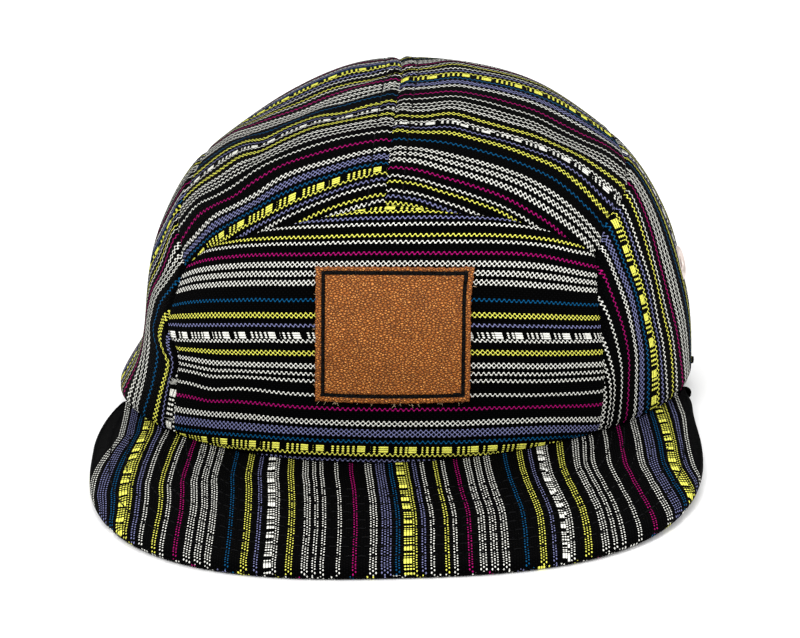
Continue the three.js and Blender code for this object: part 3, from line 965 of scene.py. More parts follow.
@dataclass
class ClothPanel:
    """One panel of the crown: a shell of cloth whose edges roll into its seams."""

    name: str
    node: str
    crown: CrownForm
    cut: PanelCut
    lay: StripeLay
    phase: float = 0.0
    columns: int = 110
    rows: int = 64
    thickness: float = 1.5
    roll_depth: float = 0.75
    roll_width: float = 1.1
    hem_roll: float = 0.6
    gather_depth: float = 0.07
    wave_depth: float = 0.1
    floor_gap: float = 0.05

    def places(self, across: Array, share: Array) -> tuple[Array, Array]:
        """Returns the angle and rise at each share of the way across the panel and up it."""
        raise NotImplementedError

    def weave(self, grid: SurfaceGrid) -> Array:
        """Returns the cloth coordinates of each place of the panel."""
        raise NotImplementedError

    def from_hem(self, angle: Array, share: Array) -> tuple[Array, Array]:
        """Returns the angles, and the rise at each share of the way from the hem to the seam above."""
        height = mix(self.crown.foot_height(angle), self.cut.seam_height(angle), share)
        return angle, self.crown.rise_at(angle, height)

    def grid(self) -> SurfaceGrid:
        """Lays a grid over the plain outside of the panel.

        Returns:
            The grid, by columns across and rows up, closer together along the seams.
        """
        steps = (gathered(self.columns, 0.75), gathered(self.rows, 0.7))
        angle, rise = self.places(*np.meshgrid(*steps, indexing="ij"))
        point, normal = self.crown.point(angle, rise), self.crown.normal(angle, rise)
        return SurfaceGrid(angle, rise, point, normal, length_along(point, 0), length_along(point, 1))

    def seam_distances(self, grid: SurfaceGrid) -> list[Array]:
        """Returns the distance of each place from each sewn edge of the panel."""
        return [grid.along, grid.along[-1:] - grid.along, grid.up[:, -1:] - grid.up]

    def relief(self, grid: SurfaceGrid) -> Array:
        """Finds how far the cloth stands above its plain form.

        Args:
            grid: The plain outside of the panel.

        Returns:
            Heights in millimetres: less at the seams, and soft waves over the rest.
        """
        heights = -self.hem_roll * bell(grid.up, self.roll_width)
        ripple = self.gather_depth * np.sin((grid.along + grid.up) * 1.05 + self.phase)
        for distance in self.seam_distances(grid):
            gathers = ripple * bell(distance - 2.5, 2.5)
            heights = heights - self.roll_depth * bell(distance, self.roll_width) + gathers
        x, y, z = np.moveaxis(grid.point, -1, 0)
        waves = np.sin(x / 9.5 + z / 14 + self.phase) + np.sin(z / 8.5 - y / 12 + 2 * self.phase)
        return heights + self.wave_depth * waves

    def build(self, finish: Material) -> Object:
        """Builds the panel.

        Args:
            finish: The cloth.

        Returns:
            The panel.
        """
        grid = self.grid()
        outer = grid.point + grid.normal * self.relief(grid)[..., None]
        inner = outer - grid.normal * self.thickness
        inner[:, 0, 2] = outer[:, 0, 2]
        points = np.stack([outer, inner])
        points[..., 2] = np.maximum(points[..., 2], self.floor_gap)
        weave = np.stack([self.weave(grid)] * 2)
        obj = make_object(self.name, points, shell_faces(outer.shape), weave)
        self.finish_edges(obj)
        return dress(obj, finish, self.node)

    def finish_edges(self, obj: Object) -> None:
        """Cuts any openings of the panel."""


@dataclass
class FrontPanel(ClothPanel):
    """The front panel, with level stripes."""

    def places(self, across: Array, share: Array) -> tuple[Array, Array]:
        """Returns the angle and rise of each place, from side to side and hem to top."""
        left, right = smooth_table(self.cut.front_left, share), smooth_table(self.cut.front_right, share)
        return self.from_hem(mix(left, right, across), share)

    def weave(self, grid: SurfaceGrid) -> Array:
        """Lays the rows level over the panel.

        Args:
            grid: The plain outside of the panel.

        Returns:
            The length along the rows from the middle, and the row at each height.
        """
        across = (grid.angle - grid.angle[:1]) / (grid.angle[-1:] - grid.angle[:1])
        row = self.lay.row_at(across, self.crown.climb(grid.angle, grid.rise))
        return np.stack([grid.along - grid.along[self.columns // 2], row], axis=-1)


@dataclass
class SidePanel(ClothPanel):
    """A side panel, with upright stripes, from the front panel to the middle of the back."""

    side: int = 1
    eyelet_place: Pair = RIGHT_EYELET
    eyelet_hole: float = 3.6
    eyelet_press: float = 1.7
    press_spread: float = 6.5
    hole_depth: float = 12.0
    hole_sides: int = 48
    arch: Arch = Arch()
    arch_foot: float = -10.0
    arch_reach: Pair = (45.0, 130.0)

    def places(self, across: Array, share: Array) -> tuple[Array, Array]:
        """Finds the angle and rise of each place.

        Args:
            across: Shares of the way from the left edge to the right one.
            share: Shares of the way from the hem to the seam above.

        Returns:
            The angles and the rises.
        """
        edge = self.cut.front_left if self.side < 0 else self.cut.front_right
        front, back = smooth_table(edge, share), 180.0 * self.side
        angle = mix(back, front, across) if self.side < 0 else mix(front, back, across)
        return self.from_hem(angle, share)

    def weave(self, grid: SurfaceGrid) -> Array:
        """Returns the length up the panel, and the row at each distance from the front."""
        distance = grid.along if self.side > 0 else grid.along[-1:] - grid.along
        return np.stack([grid.up, self.lay.row_at(grid.up / grid.up[:, -1:], distance)], axis=-1)

    def relief(self, grid: SurfaceGrid) -> Array:
        """Presses the cloth in around the eyelet.

        Args:
            grid: The plain outside of the panel.

        Returns:
            The heights of any panel's cloth, less near the eyelet.
        """
        centre, _ = self.crown.spot(*self.eyelet_place)
        distance = np.linalg.norm(grid.point - centre, axis=-1)
        return super().relief(grid) - self.eyelet_press * bell(distance, self.press_spread)

    def finish_edges(self, obj: Object) -> None:
        """Cuts the hole of the eyelet and this side of the arch at the back."""
        cut_away(obj, self.hole_block())
        cut_away(obj, self.arch_block())

    def hole_block(self) -> Object:
        """Makes a round block in the shape of the eyelet's hole.

        Returns:
            The block, which stands square to the cloth.
        """
        centre, normal = self.crown.spot(*self.eyelet_place)
        turn = np.linspace(0, 2 * math.pi, self.hole_sides, endpoint=False)
        x, y = self.eyelet_hole * np.cos(turn), self.eyelet_hole * np.sin(turn)
        ends = [np.column_stack([x, y, np.full_like(x, z)]) for z in (-self.hole_depth, self.hole_depth)]
        stand = np.array(Vector(normal).to_track_quat("Z", "Y").to_matrix())
        return make_object("hole", centre + np.stack(ends) @ stand.T, tube_faces(2, self.hole_sides))

    def arch_block(self) -> Object:
        """Makes a block in the shape of the arch.

        Returns:
            The block, from inside the crown out through its back.
        """
        across, height = self.arch.outline(np.linspace(0, math.pi, 61))
        across = np.pad(across, 1, mode="edge")
        height = np.pad(height, 1, constant_values=self.arch_foot)
        ends = [np.column_stack([across, np.full_like(across, y), height]) for y in self.arch_reach]
        return make_object("arch", np.stack(ends), tube_faces(2, len(across)))


@dataclass
class TopPanel(ClothPanel):
    """A top panel, with stripes that run from the centre seam out to the shoulder."""

    side: int = 1
    corner_share: float = 0.34
    stitch_line: float = 4.7

    def places(self, across: Array, share: Array) -> tuple[Array, Array]:
        """Finds the angle and rise of each place.

        Args:
            across: Shares of the way along the lower seam.
            share: Shares of the way from that seam up to the pole.

        Returns:
            The angles and the rises.
        """
        ends = (-180.0, self.cut.centre_seam) if self.side < 0 else (self.cut.centre_seam, 180.0)
        corner = self.cut.front_top[0][0] if self.side < 0 else self.cut.front_top[-1][0]
        before = mix(ends[0], corner, across / self.corner_share)
        after = mix(corner, ends[1], (across - self.corner_share) / (1 - self.corner_share))
        angle = np.where(across < self.corner_share, before, after)
        return angle, mix(self.crown.rise_at(angle, self.cut.seam_height(angle)), 1.0, share)

    def seam_profile(self) -> tuple[Array, Array]:
        """Follows the centre seam over the crown, from a little before its front end to the hem behind.

        Returns:
            The places along it, and their distance from its front end.
        """
        foot = float(self.crown.rise_at(self.cut.centre_seam, self.cut.seam_foot))
        rises = np.linspace(foot - 0.3, 1, 130)
        front = self.crown.point(self.cut.centre_seam, rises)
        back = self.crown.point(180.0, np.linspace(1, 0, 160)[1:])
        seam = np.concatenate([front, back])
        length = length_along(seam, 0)
        return seam, length - np.interp(foot, rises, length[: len(rises)])

    def about_hub(self, points: Array) -> tuple[Array, Array]:
        """Returns how far places are turned around the hub of the seam, and their distance from it."""
        ahead, above = self.cut.seam_hub[0] - points[..., 1], points[..., 2] - self.cut.seam_hub[1]
        return np.arctan2(above, ahead), np.hypot(ahead, above)

    def seam_coordinates(self, points: Array) -> tuple[Array, Array]:
        """Finds where places lie along the centre seam and how far out from it.

        Args:
            points: Places on the crown.

        Returns:
            The distance along the seam, and the length of cloth out from it.
        """
        seam, length = self.seam_profile()
        seam_turn, seam_radius = self.about_hub(seam)
        turn, radius = self.about_hub(points)
        aside = points[..., 0] - np.interp(turn, seam_turn, seam[:, 0])
        drop = np.interp(turn, seam_turn, seam_radius) - radius
        out = np.sign(aside) * np.sqrt(aside**2 + 4 / 3 * drop**2)
        return np.interp(turn, seam_turn, length), out

    def seam_distances(self, grid: SurfaceGrid) -> list[Array]:
        """Returns the distance of each place from the centre seam and from the lower seam."""
        _, out = self.seam_coordinates(grid.point)
        return [np.abs(out), grid.up]

    def relief(self, grid: SurfaceGrid) -> Array:
        """Adds the groove of the stitches beside the centre seam.

        Args:
            grid: The plain outside of the panel.

        Returns:
            The heights of any panel's cloth without a hem, with the groove and its puckers.
        """
        heights = super().relief(grid) + self.hem_roll * bell(grid.up, self.roll_width)
        along, out = self.seam_coordinates(grid.point)
        groove = 0.22 * bell(np.abs(out) - self.stitch_line, 0.7)
        pucker = 0.12 * np.sin(along * 1.25 + self.phase) * bell(np.abs(out) - 2.4, 2.0)
        return heights - groove + pucker

    def weave(self, grid: SurfaceGrid) -> Array:
        """Returns the length out from the centre seam, and the row at each place along it."""
        along, out = self.seam_coordinates(grid.point)
        return np.stack([out, self.lay.row_at(np.abs(out), along)], axis=-1)


@dataclass
class Brim:
    """The padded brim: its outline and thickness, its cloth cover and its stitching.

    Places along its outline go from one end at -1 to the other at 1.
    """

    crown: CrownForm
    lay: StripeLay
    half_width: float = 84.5
    reach: float = 103.0
    centre: Pair = (-0.2, -57.0)
    squareness: float = 2.68
    end_angle: float = 72.0
    end_share: float = 0.84
    end_place: float = 0.999
    tuck: float = 6.0
    thickness: float = 3.6
    hem_thickness: float = 2.6
    seat: float = 0.3
    lifts: Pair = (0.3, 2.4)
    curl: float = 0.6
    skew: float = 0.03
    columns: int = 220
    rows: int = 56
    nose_steps: int = 12
    nose_turn: float = 132.0
    fold_turns: tuple[float, ...] = (176.0, 165.0, 154.0, 143.0, 132.0, 120.0, 108.0)
    fold_gap: float = 0.12
    stitch_lines: tuple[float, ...] = (4.6, 9.8, 15.0, 20.2, 25.4, 30.6, 35.8, 41.0, 46.2)
    groove: float = 0.28
    underside_rows: float = 61.0

    def hem(self, side: Array) -> Array:
        """Returns the hem of the crown beside each place along the outline."""
        return self.crown.point(side * self.end_angle, 0.0)

    def edge_height(self, across: Array) -> Array:
        """Returns the height of the middle of the brim's edge."""
        lift = np.where(across < 0, self.lifts[0], self.lifts[1])
        return self.thickness / 2 + lift * across**6

    def edge(self, side: Array) -> Array:
        """Finds the outline of the brim.

        Args:
            side: Places along it.

        Returns:
            The middle of the edge at each place.
        """
        sign, along = np.sign(side), np.abs(side)
        end = self.hem(sign)
        turn = np.clip((along - self.end_share) / (1 - self.end_share), 0, 1) * math.pi / 2
        corner = (
            mix(end[..., 0], self.centre[0] + sign * self.half_width, np.cos(turn)),
            mix(self.centre[1], end[..., 1], np.sin(turn)),
            mix(self.edge_height(sign), end[..., 2] - self.thickness / 2, 1 - np.cos(turn)),
        )
        bend = np.clip(along / self.end_share, 0, 1) * math.pi / 2
        power = 2 / self.squareness
        across = np.sin(bend) ** power
        x = self.centre[0] + sign * self.half_width * across
        reach = (self.reach + self.skew * x) * np.maximum(np.cos(bend), 0) ** power
        front = (x, self.centre[1] - reach, self.edge_height(sign * across))
        at_end = (along > self.end_share)[..., None]
        return np.where(at_end, np.stack(corner, axis=-1), np.stack(front, axis=-1))

    def outward(self, side: Array) -> Array:
        """Finds the level direction from the hem to the edge.

        Args:
            side: Places along the outline.

        Returns:
            The direction at each place, 1 long.
        """
        hem = self.hem(side)
        radial = hem - np.array([0.0, self.crown.centre_y, 0.0])
        away = np.where((np.abs(side) > 0.97)[..., None], radial, self.edge(side) - hem)
        away[..., 2] = 0
        return unit(away)

    def face(self, side: Array, share: Array, sign: int) -> Array:
        """Finds places on the upper or lower face of the brim.

        Args:
            side: Places along the outline.
            share: Shares of the way from under the hem to the edge.
            sign: 1 for the upper face, -1 for the lower one.

        Returns:
            The places, in millimetres.
        """
        hem, edge = self.hem(side), self.edge(side)
        flat = mix(hem - self.outward(side) * self.tuck, edge, share[..., None])
        hem_middle = hem[..., 2] - self.seat - self.hem_thickness / 2
        half = mix(self.hem_thickness, self.thickness, share) / 2
        flat[..., 2] = mix(hem_middle, edge[..., 2], mix(share, share**3, self.curl)) + sign * half
        return flat

    def nose(self, side: Array, turn: Array) -> Array:
        """Returns places around the round edge, from its top at 0 to its foot at a half turn."""
        up = np.cos(turn)[..., None] * np.array([0.0, 0.0, 1.0])
        return self.edge(side) + (self.outward(side) * np.sin(turn)[..., None] + up) * self.thickness / 2

    def edge_distance(self, points: Array) -> Array:
        """Returns how far each place of a grid is from the brim's outline, in plan."""
        outline = self.edge(np.linspace(-self.end_place, self.end_place, 400))[:, :2]
        return np.stack([np.linalg.norm(row[:, None, :2] - outline, axis=-1).min(1) for row in points])

    def weave(self, points: Array, extra: Array | float = 0.0) -> Array:
        """Returns the length along the stripes, with extra cloth round the edge, and the row."""
        return np.stack([extra - points[..., 1], self.lay.row_at(-points[..., 1], points[..., 0])], axis=-1)

    def build_cover(self, finish: Material) -> Object:
        """Builds the cloth on top, which wraps round the edge.

        Args:
            finish: The cloth.

        Returns:
            The cover.
        """
        side = mix(-self.end_place, self.end_place, gathered(self.columns, 0.2))
        sides, shares = np.meshgrid(side, gathered(self.rows, 0.4), indexing="ij")
        top = self.face(sides, shares, 1)
        distance = self.edge_distance(top)
        for line in self.stitch_lines:
            top[..., 2] -= self.groove * bell(distance - line, 0.8)
        top[..., 2] += 0.07 * np.sin(top[..., 0] / 7.0) * np.sin(top[..., 1] / 9.0)
        turn = np.linspace(0, math.radians(self.nose_turn), self.nose_steps + 1)[1:]
        sides, turns = np.meshgrid(side, turn, indexing="ij")
        nose = self.nose(sides, turns)
        points = np.concatenate([top, nose], axis=1)
        weave = np.concatenate([self.weave(top), self.weave(nose, turns * self.thickness / 2)], axis=1)
        obj = make_object("brim_cover", points, grid_faces(points.shape, flip=True), weave)
        return dress(obj, finish, "brim")

    def build_underside(self, finish: Material) -> Object:
        """Builds the cloth under the brim, which is another piece of the same cloth.

        Args:
            finish: The cloth.

        Returns:
            The underside, with its edge folded in along the foot of the brim.
        """
        side = mix(-self.end_place, self.end_place, gathered(self.columns // 2, 0.2))
        under = self.face(*np.meshgrid(side, np.linspace(0, 1, 30), indexing="ij"), -1)
        sides, turns = np.meshgrid(side, np.radians(self.fold_turns), indexing="ij")
        fold = self.nose(sides, turns) + self.outward(sides) * self.fold_gap
        points = np.concatenate([under, fold], axis=1)
        weave = self.weave(points) + np.array([0.0, self.underside_rows])
        obj = make_object("brim_underside", points, grid_faces(points.shape), weave)
        return dress(obj, finish)

    def stitch_path(self, distance: float) -> SeamPath:
        """Finds a line of stitching that runs level with the outline.

        Args:
            distance: How far it is from the outline, in millimetres.

        Returns:
            The line.
        """
        side = np.linspace(-0.8, 0.8, 260)
        edge, outward = self.edge(side), self.outward(side)
        square = np.abs(np.cross(unit(np.gradient(edge, axis=0)), outward)[..., 2])
        start = self.hem(side) - outward * self.tuck
        span = np.linalg.norm((edge - start)[..., :2], axis=-1)
        share = 1 - distance / np.maximum(square, 0.5) / span
        keep = share > self.tuck / span + 0.01
        points = self.face(side, share, 1)[keep] - np.array([0.0, 0.0, 0.2])
        return SeamPath(points, np.tile(np.array([0.0, -0.1, 1.0]), (len(points), 1)))


# Thread, yarn ends and small fittings


def swept_rods(
    name: str, centre: Array, side: Array, up: Array, halves: tuple[Array, Array], along: Array, sides: int
) -> Object:
    """Sweeps oval sections along many short lines at once.

    Args:
        name: The object's name.
        centre: The middle lines, by rod and by step.
        side: The sideways direction at each step.
        up: The upward direction at each step.
        halves: Half of the section's width and half of its height at each step.
        along: How far each step lies along its rod.
        sides: How many corners a section has.

    Returns:
        The rods as one object, with surface coordinates along and around them.
    """
    count, steps = centre.shape[:2]
    turn = np.linspace(0, 2 * math.pi, sides, endpoint=False)[:, None]
    wide = (side * halves[0][..., None])[:, :, None] * np.cos(turn)
    high = (up * halves[1][..., None])[:, :, None] * np.sin(turn)
    points = centre[:, :, None] + wide + high
    around = np.broadcast_to(np.arange(sides) / sides, points.shape[:3])
    weave = np.stack(np.broadcast_arrays(along[..., None], around), axis=-1)
    faces = [face for rod in range(count) for face in tube_faces(steps, sides, rod * steps * sides)]
    return make_object(name, points, faces, weave)


@dataclass(frozen=True)
class StitchRun:
    """A run of lockstitches: short sunk-in lengths of thread along seam paths."""

    name: str
    length: float = 2.5
    gap: float = 0.5
    half_width: float = 0.21
    half_height: float = 0.17
    lift: float = 0.12
    sink: float = 0.26
    steps: int = 7
    sides: int = 7

    def build(self, paths: Sequence[SeamPath], finish: Material) -> Object:
        """Builds the thread along all paths as one object.

        Args:
            paths: The lines of the seams, in millimetres.
            finish: The thread.

        Returns:
            The thread.
        """
        share = np.linspace(-1, 1, self.steps)
        centres: list[Array] = []
        ups: list[Array] = []
        for path in paths:
            total = float(length_along(path.points, 0)[-1])
            count = max(1, int((total + self.gap) / (self.length + self.gap)))
            starts = (np.arange(count) + 0.5) * total / count
            places, normals = path.at(starts[:, None] + share * self.length / 2)
            centres.append(places + normals * (self.lift - self.sink * share**4)[:, None])
            ups.append(normals)
        centre, up = np.concatenate(centres), np.concatenate(ups)
        side = unit(np.cross(up, np.gradient(centre, axis=1)))
        round_end = np.sqrt(np.maximum(1 - np.abs(share) ** 5, 0.03))
        halves = (round_end * self.half_width, round_end * self.half_height)
        obj = swept_rods(self.name, centre, side, up, halves, share * self.length / 2, self.sides)
        return dress(obj, finish)


@dataclass(frozen=True)
class YarnEnds:
    """Loose ends of yarn or fibre that stand out of an edge in small tufts."""

    name: str
    length: Pair
    radius: float
    spread: float
    tuft: int
    seed: int
    bend: float = 0.35
    steps: int = 6
    sides: int = 5

    def build(self, roots: Array, directions: Array, finish: Material) -> Object:
        """Builds the ends of all tufts as one object.

        Args:
            roots: Where each tuft comes out, in millimetres.
            directions: Where it points.
            finish: The yarn.

        Returns:
            The yarn ends.
        """
        luck = np.random.default_rng(self.seed)
        root = np.repeat(roots, self.tuft, axis=0)
        aim = unit(np.repeat(directions, self.tuft, axis=0) + luck.normal(0, self.spread, root.shape))
        bend = luck.normal(0, self.bend, root.shape)
        length = luck.uniform(*self.length, len(root))[:, None]
        share = np.linspace(0, 1, self.steps)
        reach = aim[:, None] * share[:, None] + bend[:, None] * share[:, None] ** 2
        centre = root[:, None] + reach * length[..., None]
        forward = unit(np.gradient(centre, axis=1))
        side = unit(np.cross(forward, np.array([0.31, 0.22, 0.93])))
        up = np.cross(forward, side)
        thin = self.radius * (1.05 - share**2)
        return dress(
            swept_rods(self.name, centre, -side, up, (thin, thin), share * length, self.sides), finish
        )


@dataclass(frozen=True)
class PatchLine:
    """A rectangle on the patch, by how far its four sides lie from the middle of the patch."""

    left: float
    right: float
    low: float
    high: float

    def inside(self, x: Array, y: Array) -> Array:
        """Returns how far places lie inside the rectangle."""
        across = np.minimum(x - self.left, self.right - x)
        return np.minimum(across, np.minimum(y - self.low, self.high - y))

    def shader_inside(self, n: NodeTree, x: Socket, y: Socket) -> NodeSocket:
        """Finds how far a place lies inside the rectangle.

        Args:
            n: The tree to add the nodes to.
            x: The place across the patch.
            y: The place up the patch.

        Returns:
            The distance.
        """
        across = n.math("MINIMUM", n.math("SUBTRACT", x, self.left), n.math("SUBTRACT", self.right, x))
        upward = n.math("MINIMUM", n.math("SUBTRACT", y, self.low), n.math("SUBTRACT", self.high, y))
        return n.math("MINIMUM", across, upward)


PATCH_EDGE = PatchLine(-20.7, 20.7, -17.5, 17.5)
SEWN_CHANNEL = PatchLine(-18.4, 18.6, -15.4, 15.9)


@dataclass(frozen=True)
class LeatherPatch:
    """The leather patch: its cut edge, its sewn channel, a small crease and its thread.

    Places on it are counted from its middle.
    """

    crown: CrownForm
    width: float = 41.4
    height: float = 35.0
    centre_x: float = 0.1
    centre_height: float = 45.4
    slant: float = 2.6
    bows: Pair = (0.2, 1.0)
    pulled_corner: Pair = (20.7, 17.5)
    pull: float = 0.9
    pull_reach: float = 4.5
    underside: float = 0.05
    top: float = 1.85
    edge_roll: float = 0.6
    edge_wear: float = 0.1
    channel_depth: float = 0.8
    channel_half: float = 0.5
    crease: tuple[Pair, Pair] = ((11.5, 14.6), (18.6, 13.6))
    thread_depth: float = 0.42
    low_fibres: int = 20
    side_fibres: int = 10
    columns: int = 150
    rows: int = 126

    def base(self, x: Array, y: Array) -> tuple[Array, Array]:
        """Finds the crown under the patch.

        Args:
            x: Places across the patch.
            y: Places up the patch.

        Returns:
            The places on the crown, and the directions out of it.
        """
        pull = bell(np.hypot(x - self.pulled_corner[0], y - self.pulled_corner[1]), self.pull_reach)
        bow = 1 - (x * 2 / self.width) ** 2
        height = self.centre_height + y + bow * mix(*self.bows, y / self.height + 0.5) + 0.3 * pull
        across = self.centre_x + x + y * math.tan(math.radians(self.slant)) + self.pull * pull
        return self.crown.spot(self.crown.angle_at_x(across, height), height)

    def leather_height(self, x: Array, y: Array) -> Array:
        """Finds how far the leather stands above the crown.

        Args:
            x: Places across the patch.
            y: Places up the patch.

        Returns:
            The height of each place, in millimetres.
        """
        edge, inside = PATCH_EDGE.inside(x, y), SEWN_CHANNEL.inside(x, y)
        roll = np.clip(edge / self.edge_roll, 0, 1)
        heights = mix(self.underside, self.top, np.sqrt(1 - (1 - roll) ** 2))
        channel = self.channel_depth * bell(inside, self.channel_half)
        puffs = 0.12 * bell(inside - 0.9, 0.6) + 0.08 * bell(inside + 0.8, 0.4)
        (x0, y0), (x1, y1) = self.crease
        share = np.clip((x - x0) / (x1 - x0), 0, 1)
        fold = 0.3 * share * bell(y - mix(y0, y1, share), 0.28)
        waves = 0.06 * np.sin(x / 3.1 + y / 5.0) * np.sin(y / 3.7 - x / 7.0)
        return heights + (puffs - channel - fold + waves) * np.clip(edge / 0.8, 0, 1)

    def build(self, finish: Material) -> Object:
        """Builds the leather.

        Args:
            finish: The leather.

        Returns:
            The patch without its thread.
        """
        columns, rows = gathered(self.columns, 0.72) - 0.5, gathered(self.rows, 0.7) - 0.5
        x, y = np.meshgrid(columns * self.width, rows * self.height, indexing="ij")
        near_side = np.sign(x) * (np.abs(x) / (self.width / 2)) ** 24 * self.edge_wear
        near_end = np.sign(y) * (np.abs(y) / (self.height / 2)) ** 24 * self.edge_wear
        point, normal = self.base(
            x + near_side * (np.sin(y * 2.3) + np.sin(y * 5.1 + 1)),
            y + near_end * (np.sin(x * 2.1) + np.sin(x * 4.7 + 2)),
        )
        point = point + normal * self.leather_height(x, y)[..., None]
        weave = np.stack([x, y], axis=-1)
        obj = make_object("patch_leather", point, grid_faces(point.shape), weave, sharp_angle=80)
        return dress(obj, finish, "leather_patch")

    def sewn_line(self, start: Pair, end: Pair, depth: float) -> SeamPath:
        """Finds a straight line of stitches on the patch.

        Args:
            start: Where it starts.
            end: Where it ends.
            depth: How far under the top of the leather it lies.

        Returns:
            The line.
        """
        share = np.linspace(0, 1, 60)
        point, normal = self.base(mix(start[0], end[0], share), mix(start[1], end[1], share))
        return SeamPath(point + normal * (self.top - depth), normal)

    def sewn_lines(self) -> list[SeamPath]:
        """Finds all lines of stitches on the patch.

        Returns:
            The four sides of the stitching, and the short run where it was fastened off.
        """
        left, right, low, high = astuple(SEWN_CHANNEL)
        sides = (
            ((left, high), (right, high)),
            ((right, high), (right, low)),
            ((right, low), (0.3 - self.width / 2, low)),
            ((left, low), (left, high)),
        )
        fastened = self.sewn_line((right - 0.2, low + 0.85), (right - 3.6, low + 0.1), 0.18)
        return [self.sewn_line(*ends, self.thread_depth) for ends in sides] + [fastened]

    def frayed_edge(self) -> tuple[Array, Array]:
        """Scatters loose leather fibres along the cut edge.

        Returns:
            Where they come out, and where they point.
        """
        luck = np.random.default_rng(11)
        low = luck.uniform(-0.5, 0.5, self.low_fibres) * self.width
        sides = luck.uniform(-0.5, 0.5, self.side_fibres) * self.height
        ends = np.sign(luck.uniform(-1, 1, self.side_fibres)) * self.width / 2
        x = np.concatenate([low, ends])
        y = np.concatenate([np.full(self.low_fibres, -self.height / 2), sides])
        point, normal = self.base(x, y)
        inner, _ = self.base(x * 0.96, y * 0.96)
        direction = unit(unit(point - inner) + normal * 0.3)
        return point + normal * luck.uniform(0.3, 1.1, (len(x), 1)), direction


@dataclass(frozen=True)
class Eyelet:
    """One ring eyelet in a side panel, turned from a rounded profile."""

    name: str
    node: str
    crown: CrownForm
    place: Pair
    ring_middle: float = 3.8
    ring_half: Pair = (1.4, 0.92)
    ring_foot: float = 0.3
    washer_middle: float = 3.5
    washer_half: Pair = (1.1, 0.5)
    washer_foot: float = -2.9
    barrel: float = 3.05
    tilt: float = 10.0
    lift: float = -1.2
    sides: int = 72

    def profile(self) -> Array:
        """Finds the outline that is turned.

        Returns:
            The radius of each corner, and its distance out of the cloth.
        """
        outside, inside = np.linspace(0, math.pi, 17), np.linspace(math.pi, 2 * math.pi, 13)
        ring = np.column_stack([np.cos(outside), np.sin(outside)]) * self.ring_half
        washer = np.column_stack([np.cos(inside), np.sin(inside)]) * self.washer_half
        back = [[self.barrel, self.washer_foot + 0.1], [self.barrel, self.ring_foot - 0.1]]
        return np.concatenate([
            ring + (self.ring_middle, self.ring_foot), washer + (self.washer_middle, self.washer_foot), back
        ])

    def build(self, finish: Material) -> Object:
        """Builds the eyelet in its hole.

        Args:
            finish: The metal.

        Returns:
            The eyelet.
        """
        centre, normal = self.crown.spot(*self.place)
        centre = centre + normal * self.lift
        normal = unit(normal - np.array([0.0, math.tan(math.radians(self.tilt)), 0.0]))
        side = unit(np.cross(normal, np.array([0.0, 0.0, 1.0])))
        turn = np.linspace(0, 2 * math.pi, self.sides, endpoint=False)[:, None, None]
        radius, height = self.profile()[:, :1], self.profile()[:, 1:]
        spokes = side * np.cos(turn) + np.cross(side, normal) * np.sin(turn)
        points = centre + spokes * radius + normal * height
        around = turn[..., 0] * self.ring_middle
        weave = np.stack(np.broadcast_arrays(around, np.arange(len(radius)) * 0.3), axis=-1)
        obj = make_object(self.name, points, tube_faces(*points.shape[:2], closed=True), weave)
        return dress(obj, finish, self.node)


def behind(angle: Array) -> Array:
    """Returns angles that go on past the back as angles from -180 to 180."""
    return np.where(angle > 180, angle - 360, angle)


@dataclass(frozen=True)
class BackStrap:
    """The woven strap across the opening behind, with rounded edges."""

    crown: CrownForm
    low: float = 4.0
    high: float = 24.0
    end_angle: float = 34.0
    thickness: float = 1.6
    clearance: float = 0.5
    wall: float = 2.0
    columns: int = 120
    around: int = 48

    def build(self, finish: Material) -> Object:
        """Builds the strap, just inside the cloth.

        Args:
            finish: The webbing.

        Returns:
            The strap.
        """
        angle = behind(np.linspace(180 - self.end_angle, 180 + self.end_angle, self.columns + 1))
        foot, _ = self.crown.spot(angle, self.low)
        head, _ = self.crown.spot(angle, self.high)
        _, normal = self.crown.spot(angle, (self.low + self.high) / 2)
        turn = np.linspace(0, 2 * math.pi, self.around, endpoint=False)
        share = 0.5 + 0.5 * signed_power(np.cos(turn), 0.25)
        depth = 0.5 - 0.5 * signed_power(np.sin(turn), 0.35)
        inward = self.wall + self.clearance + depth * self.thickness
        points = mix(foot[:, None], head[:, None], share[:, None]) - normal[:, None] * inward[:, None]
        along = length_along(points[:, :1], 0)
        weave = np.stack(np.broadcast_arrays(along, share * (self.high - self.low)), axis=-1)
        obj = make_object("strap_webbing", points[::-1], tube_faces(*points.shape[:2]), weave[::-1])
        return dress(obj, finish, "back_strap")


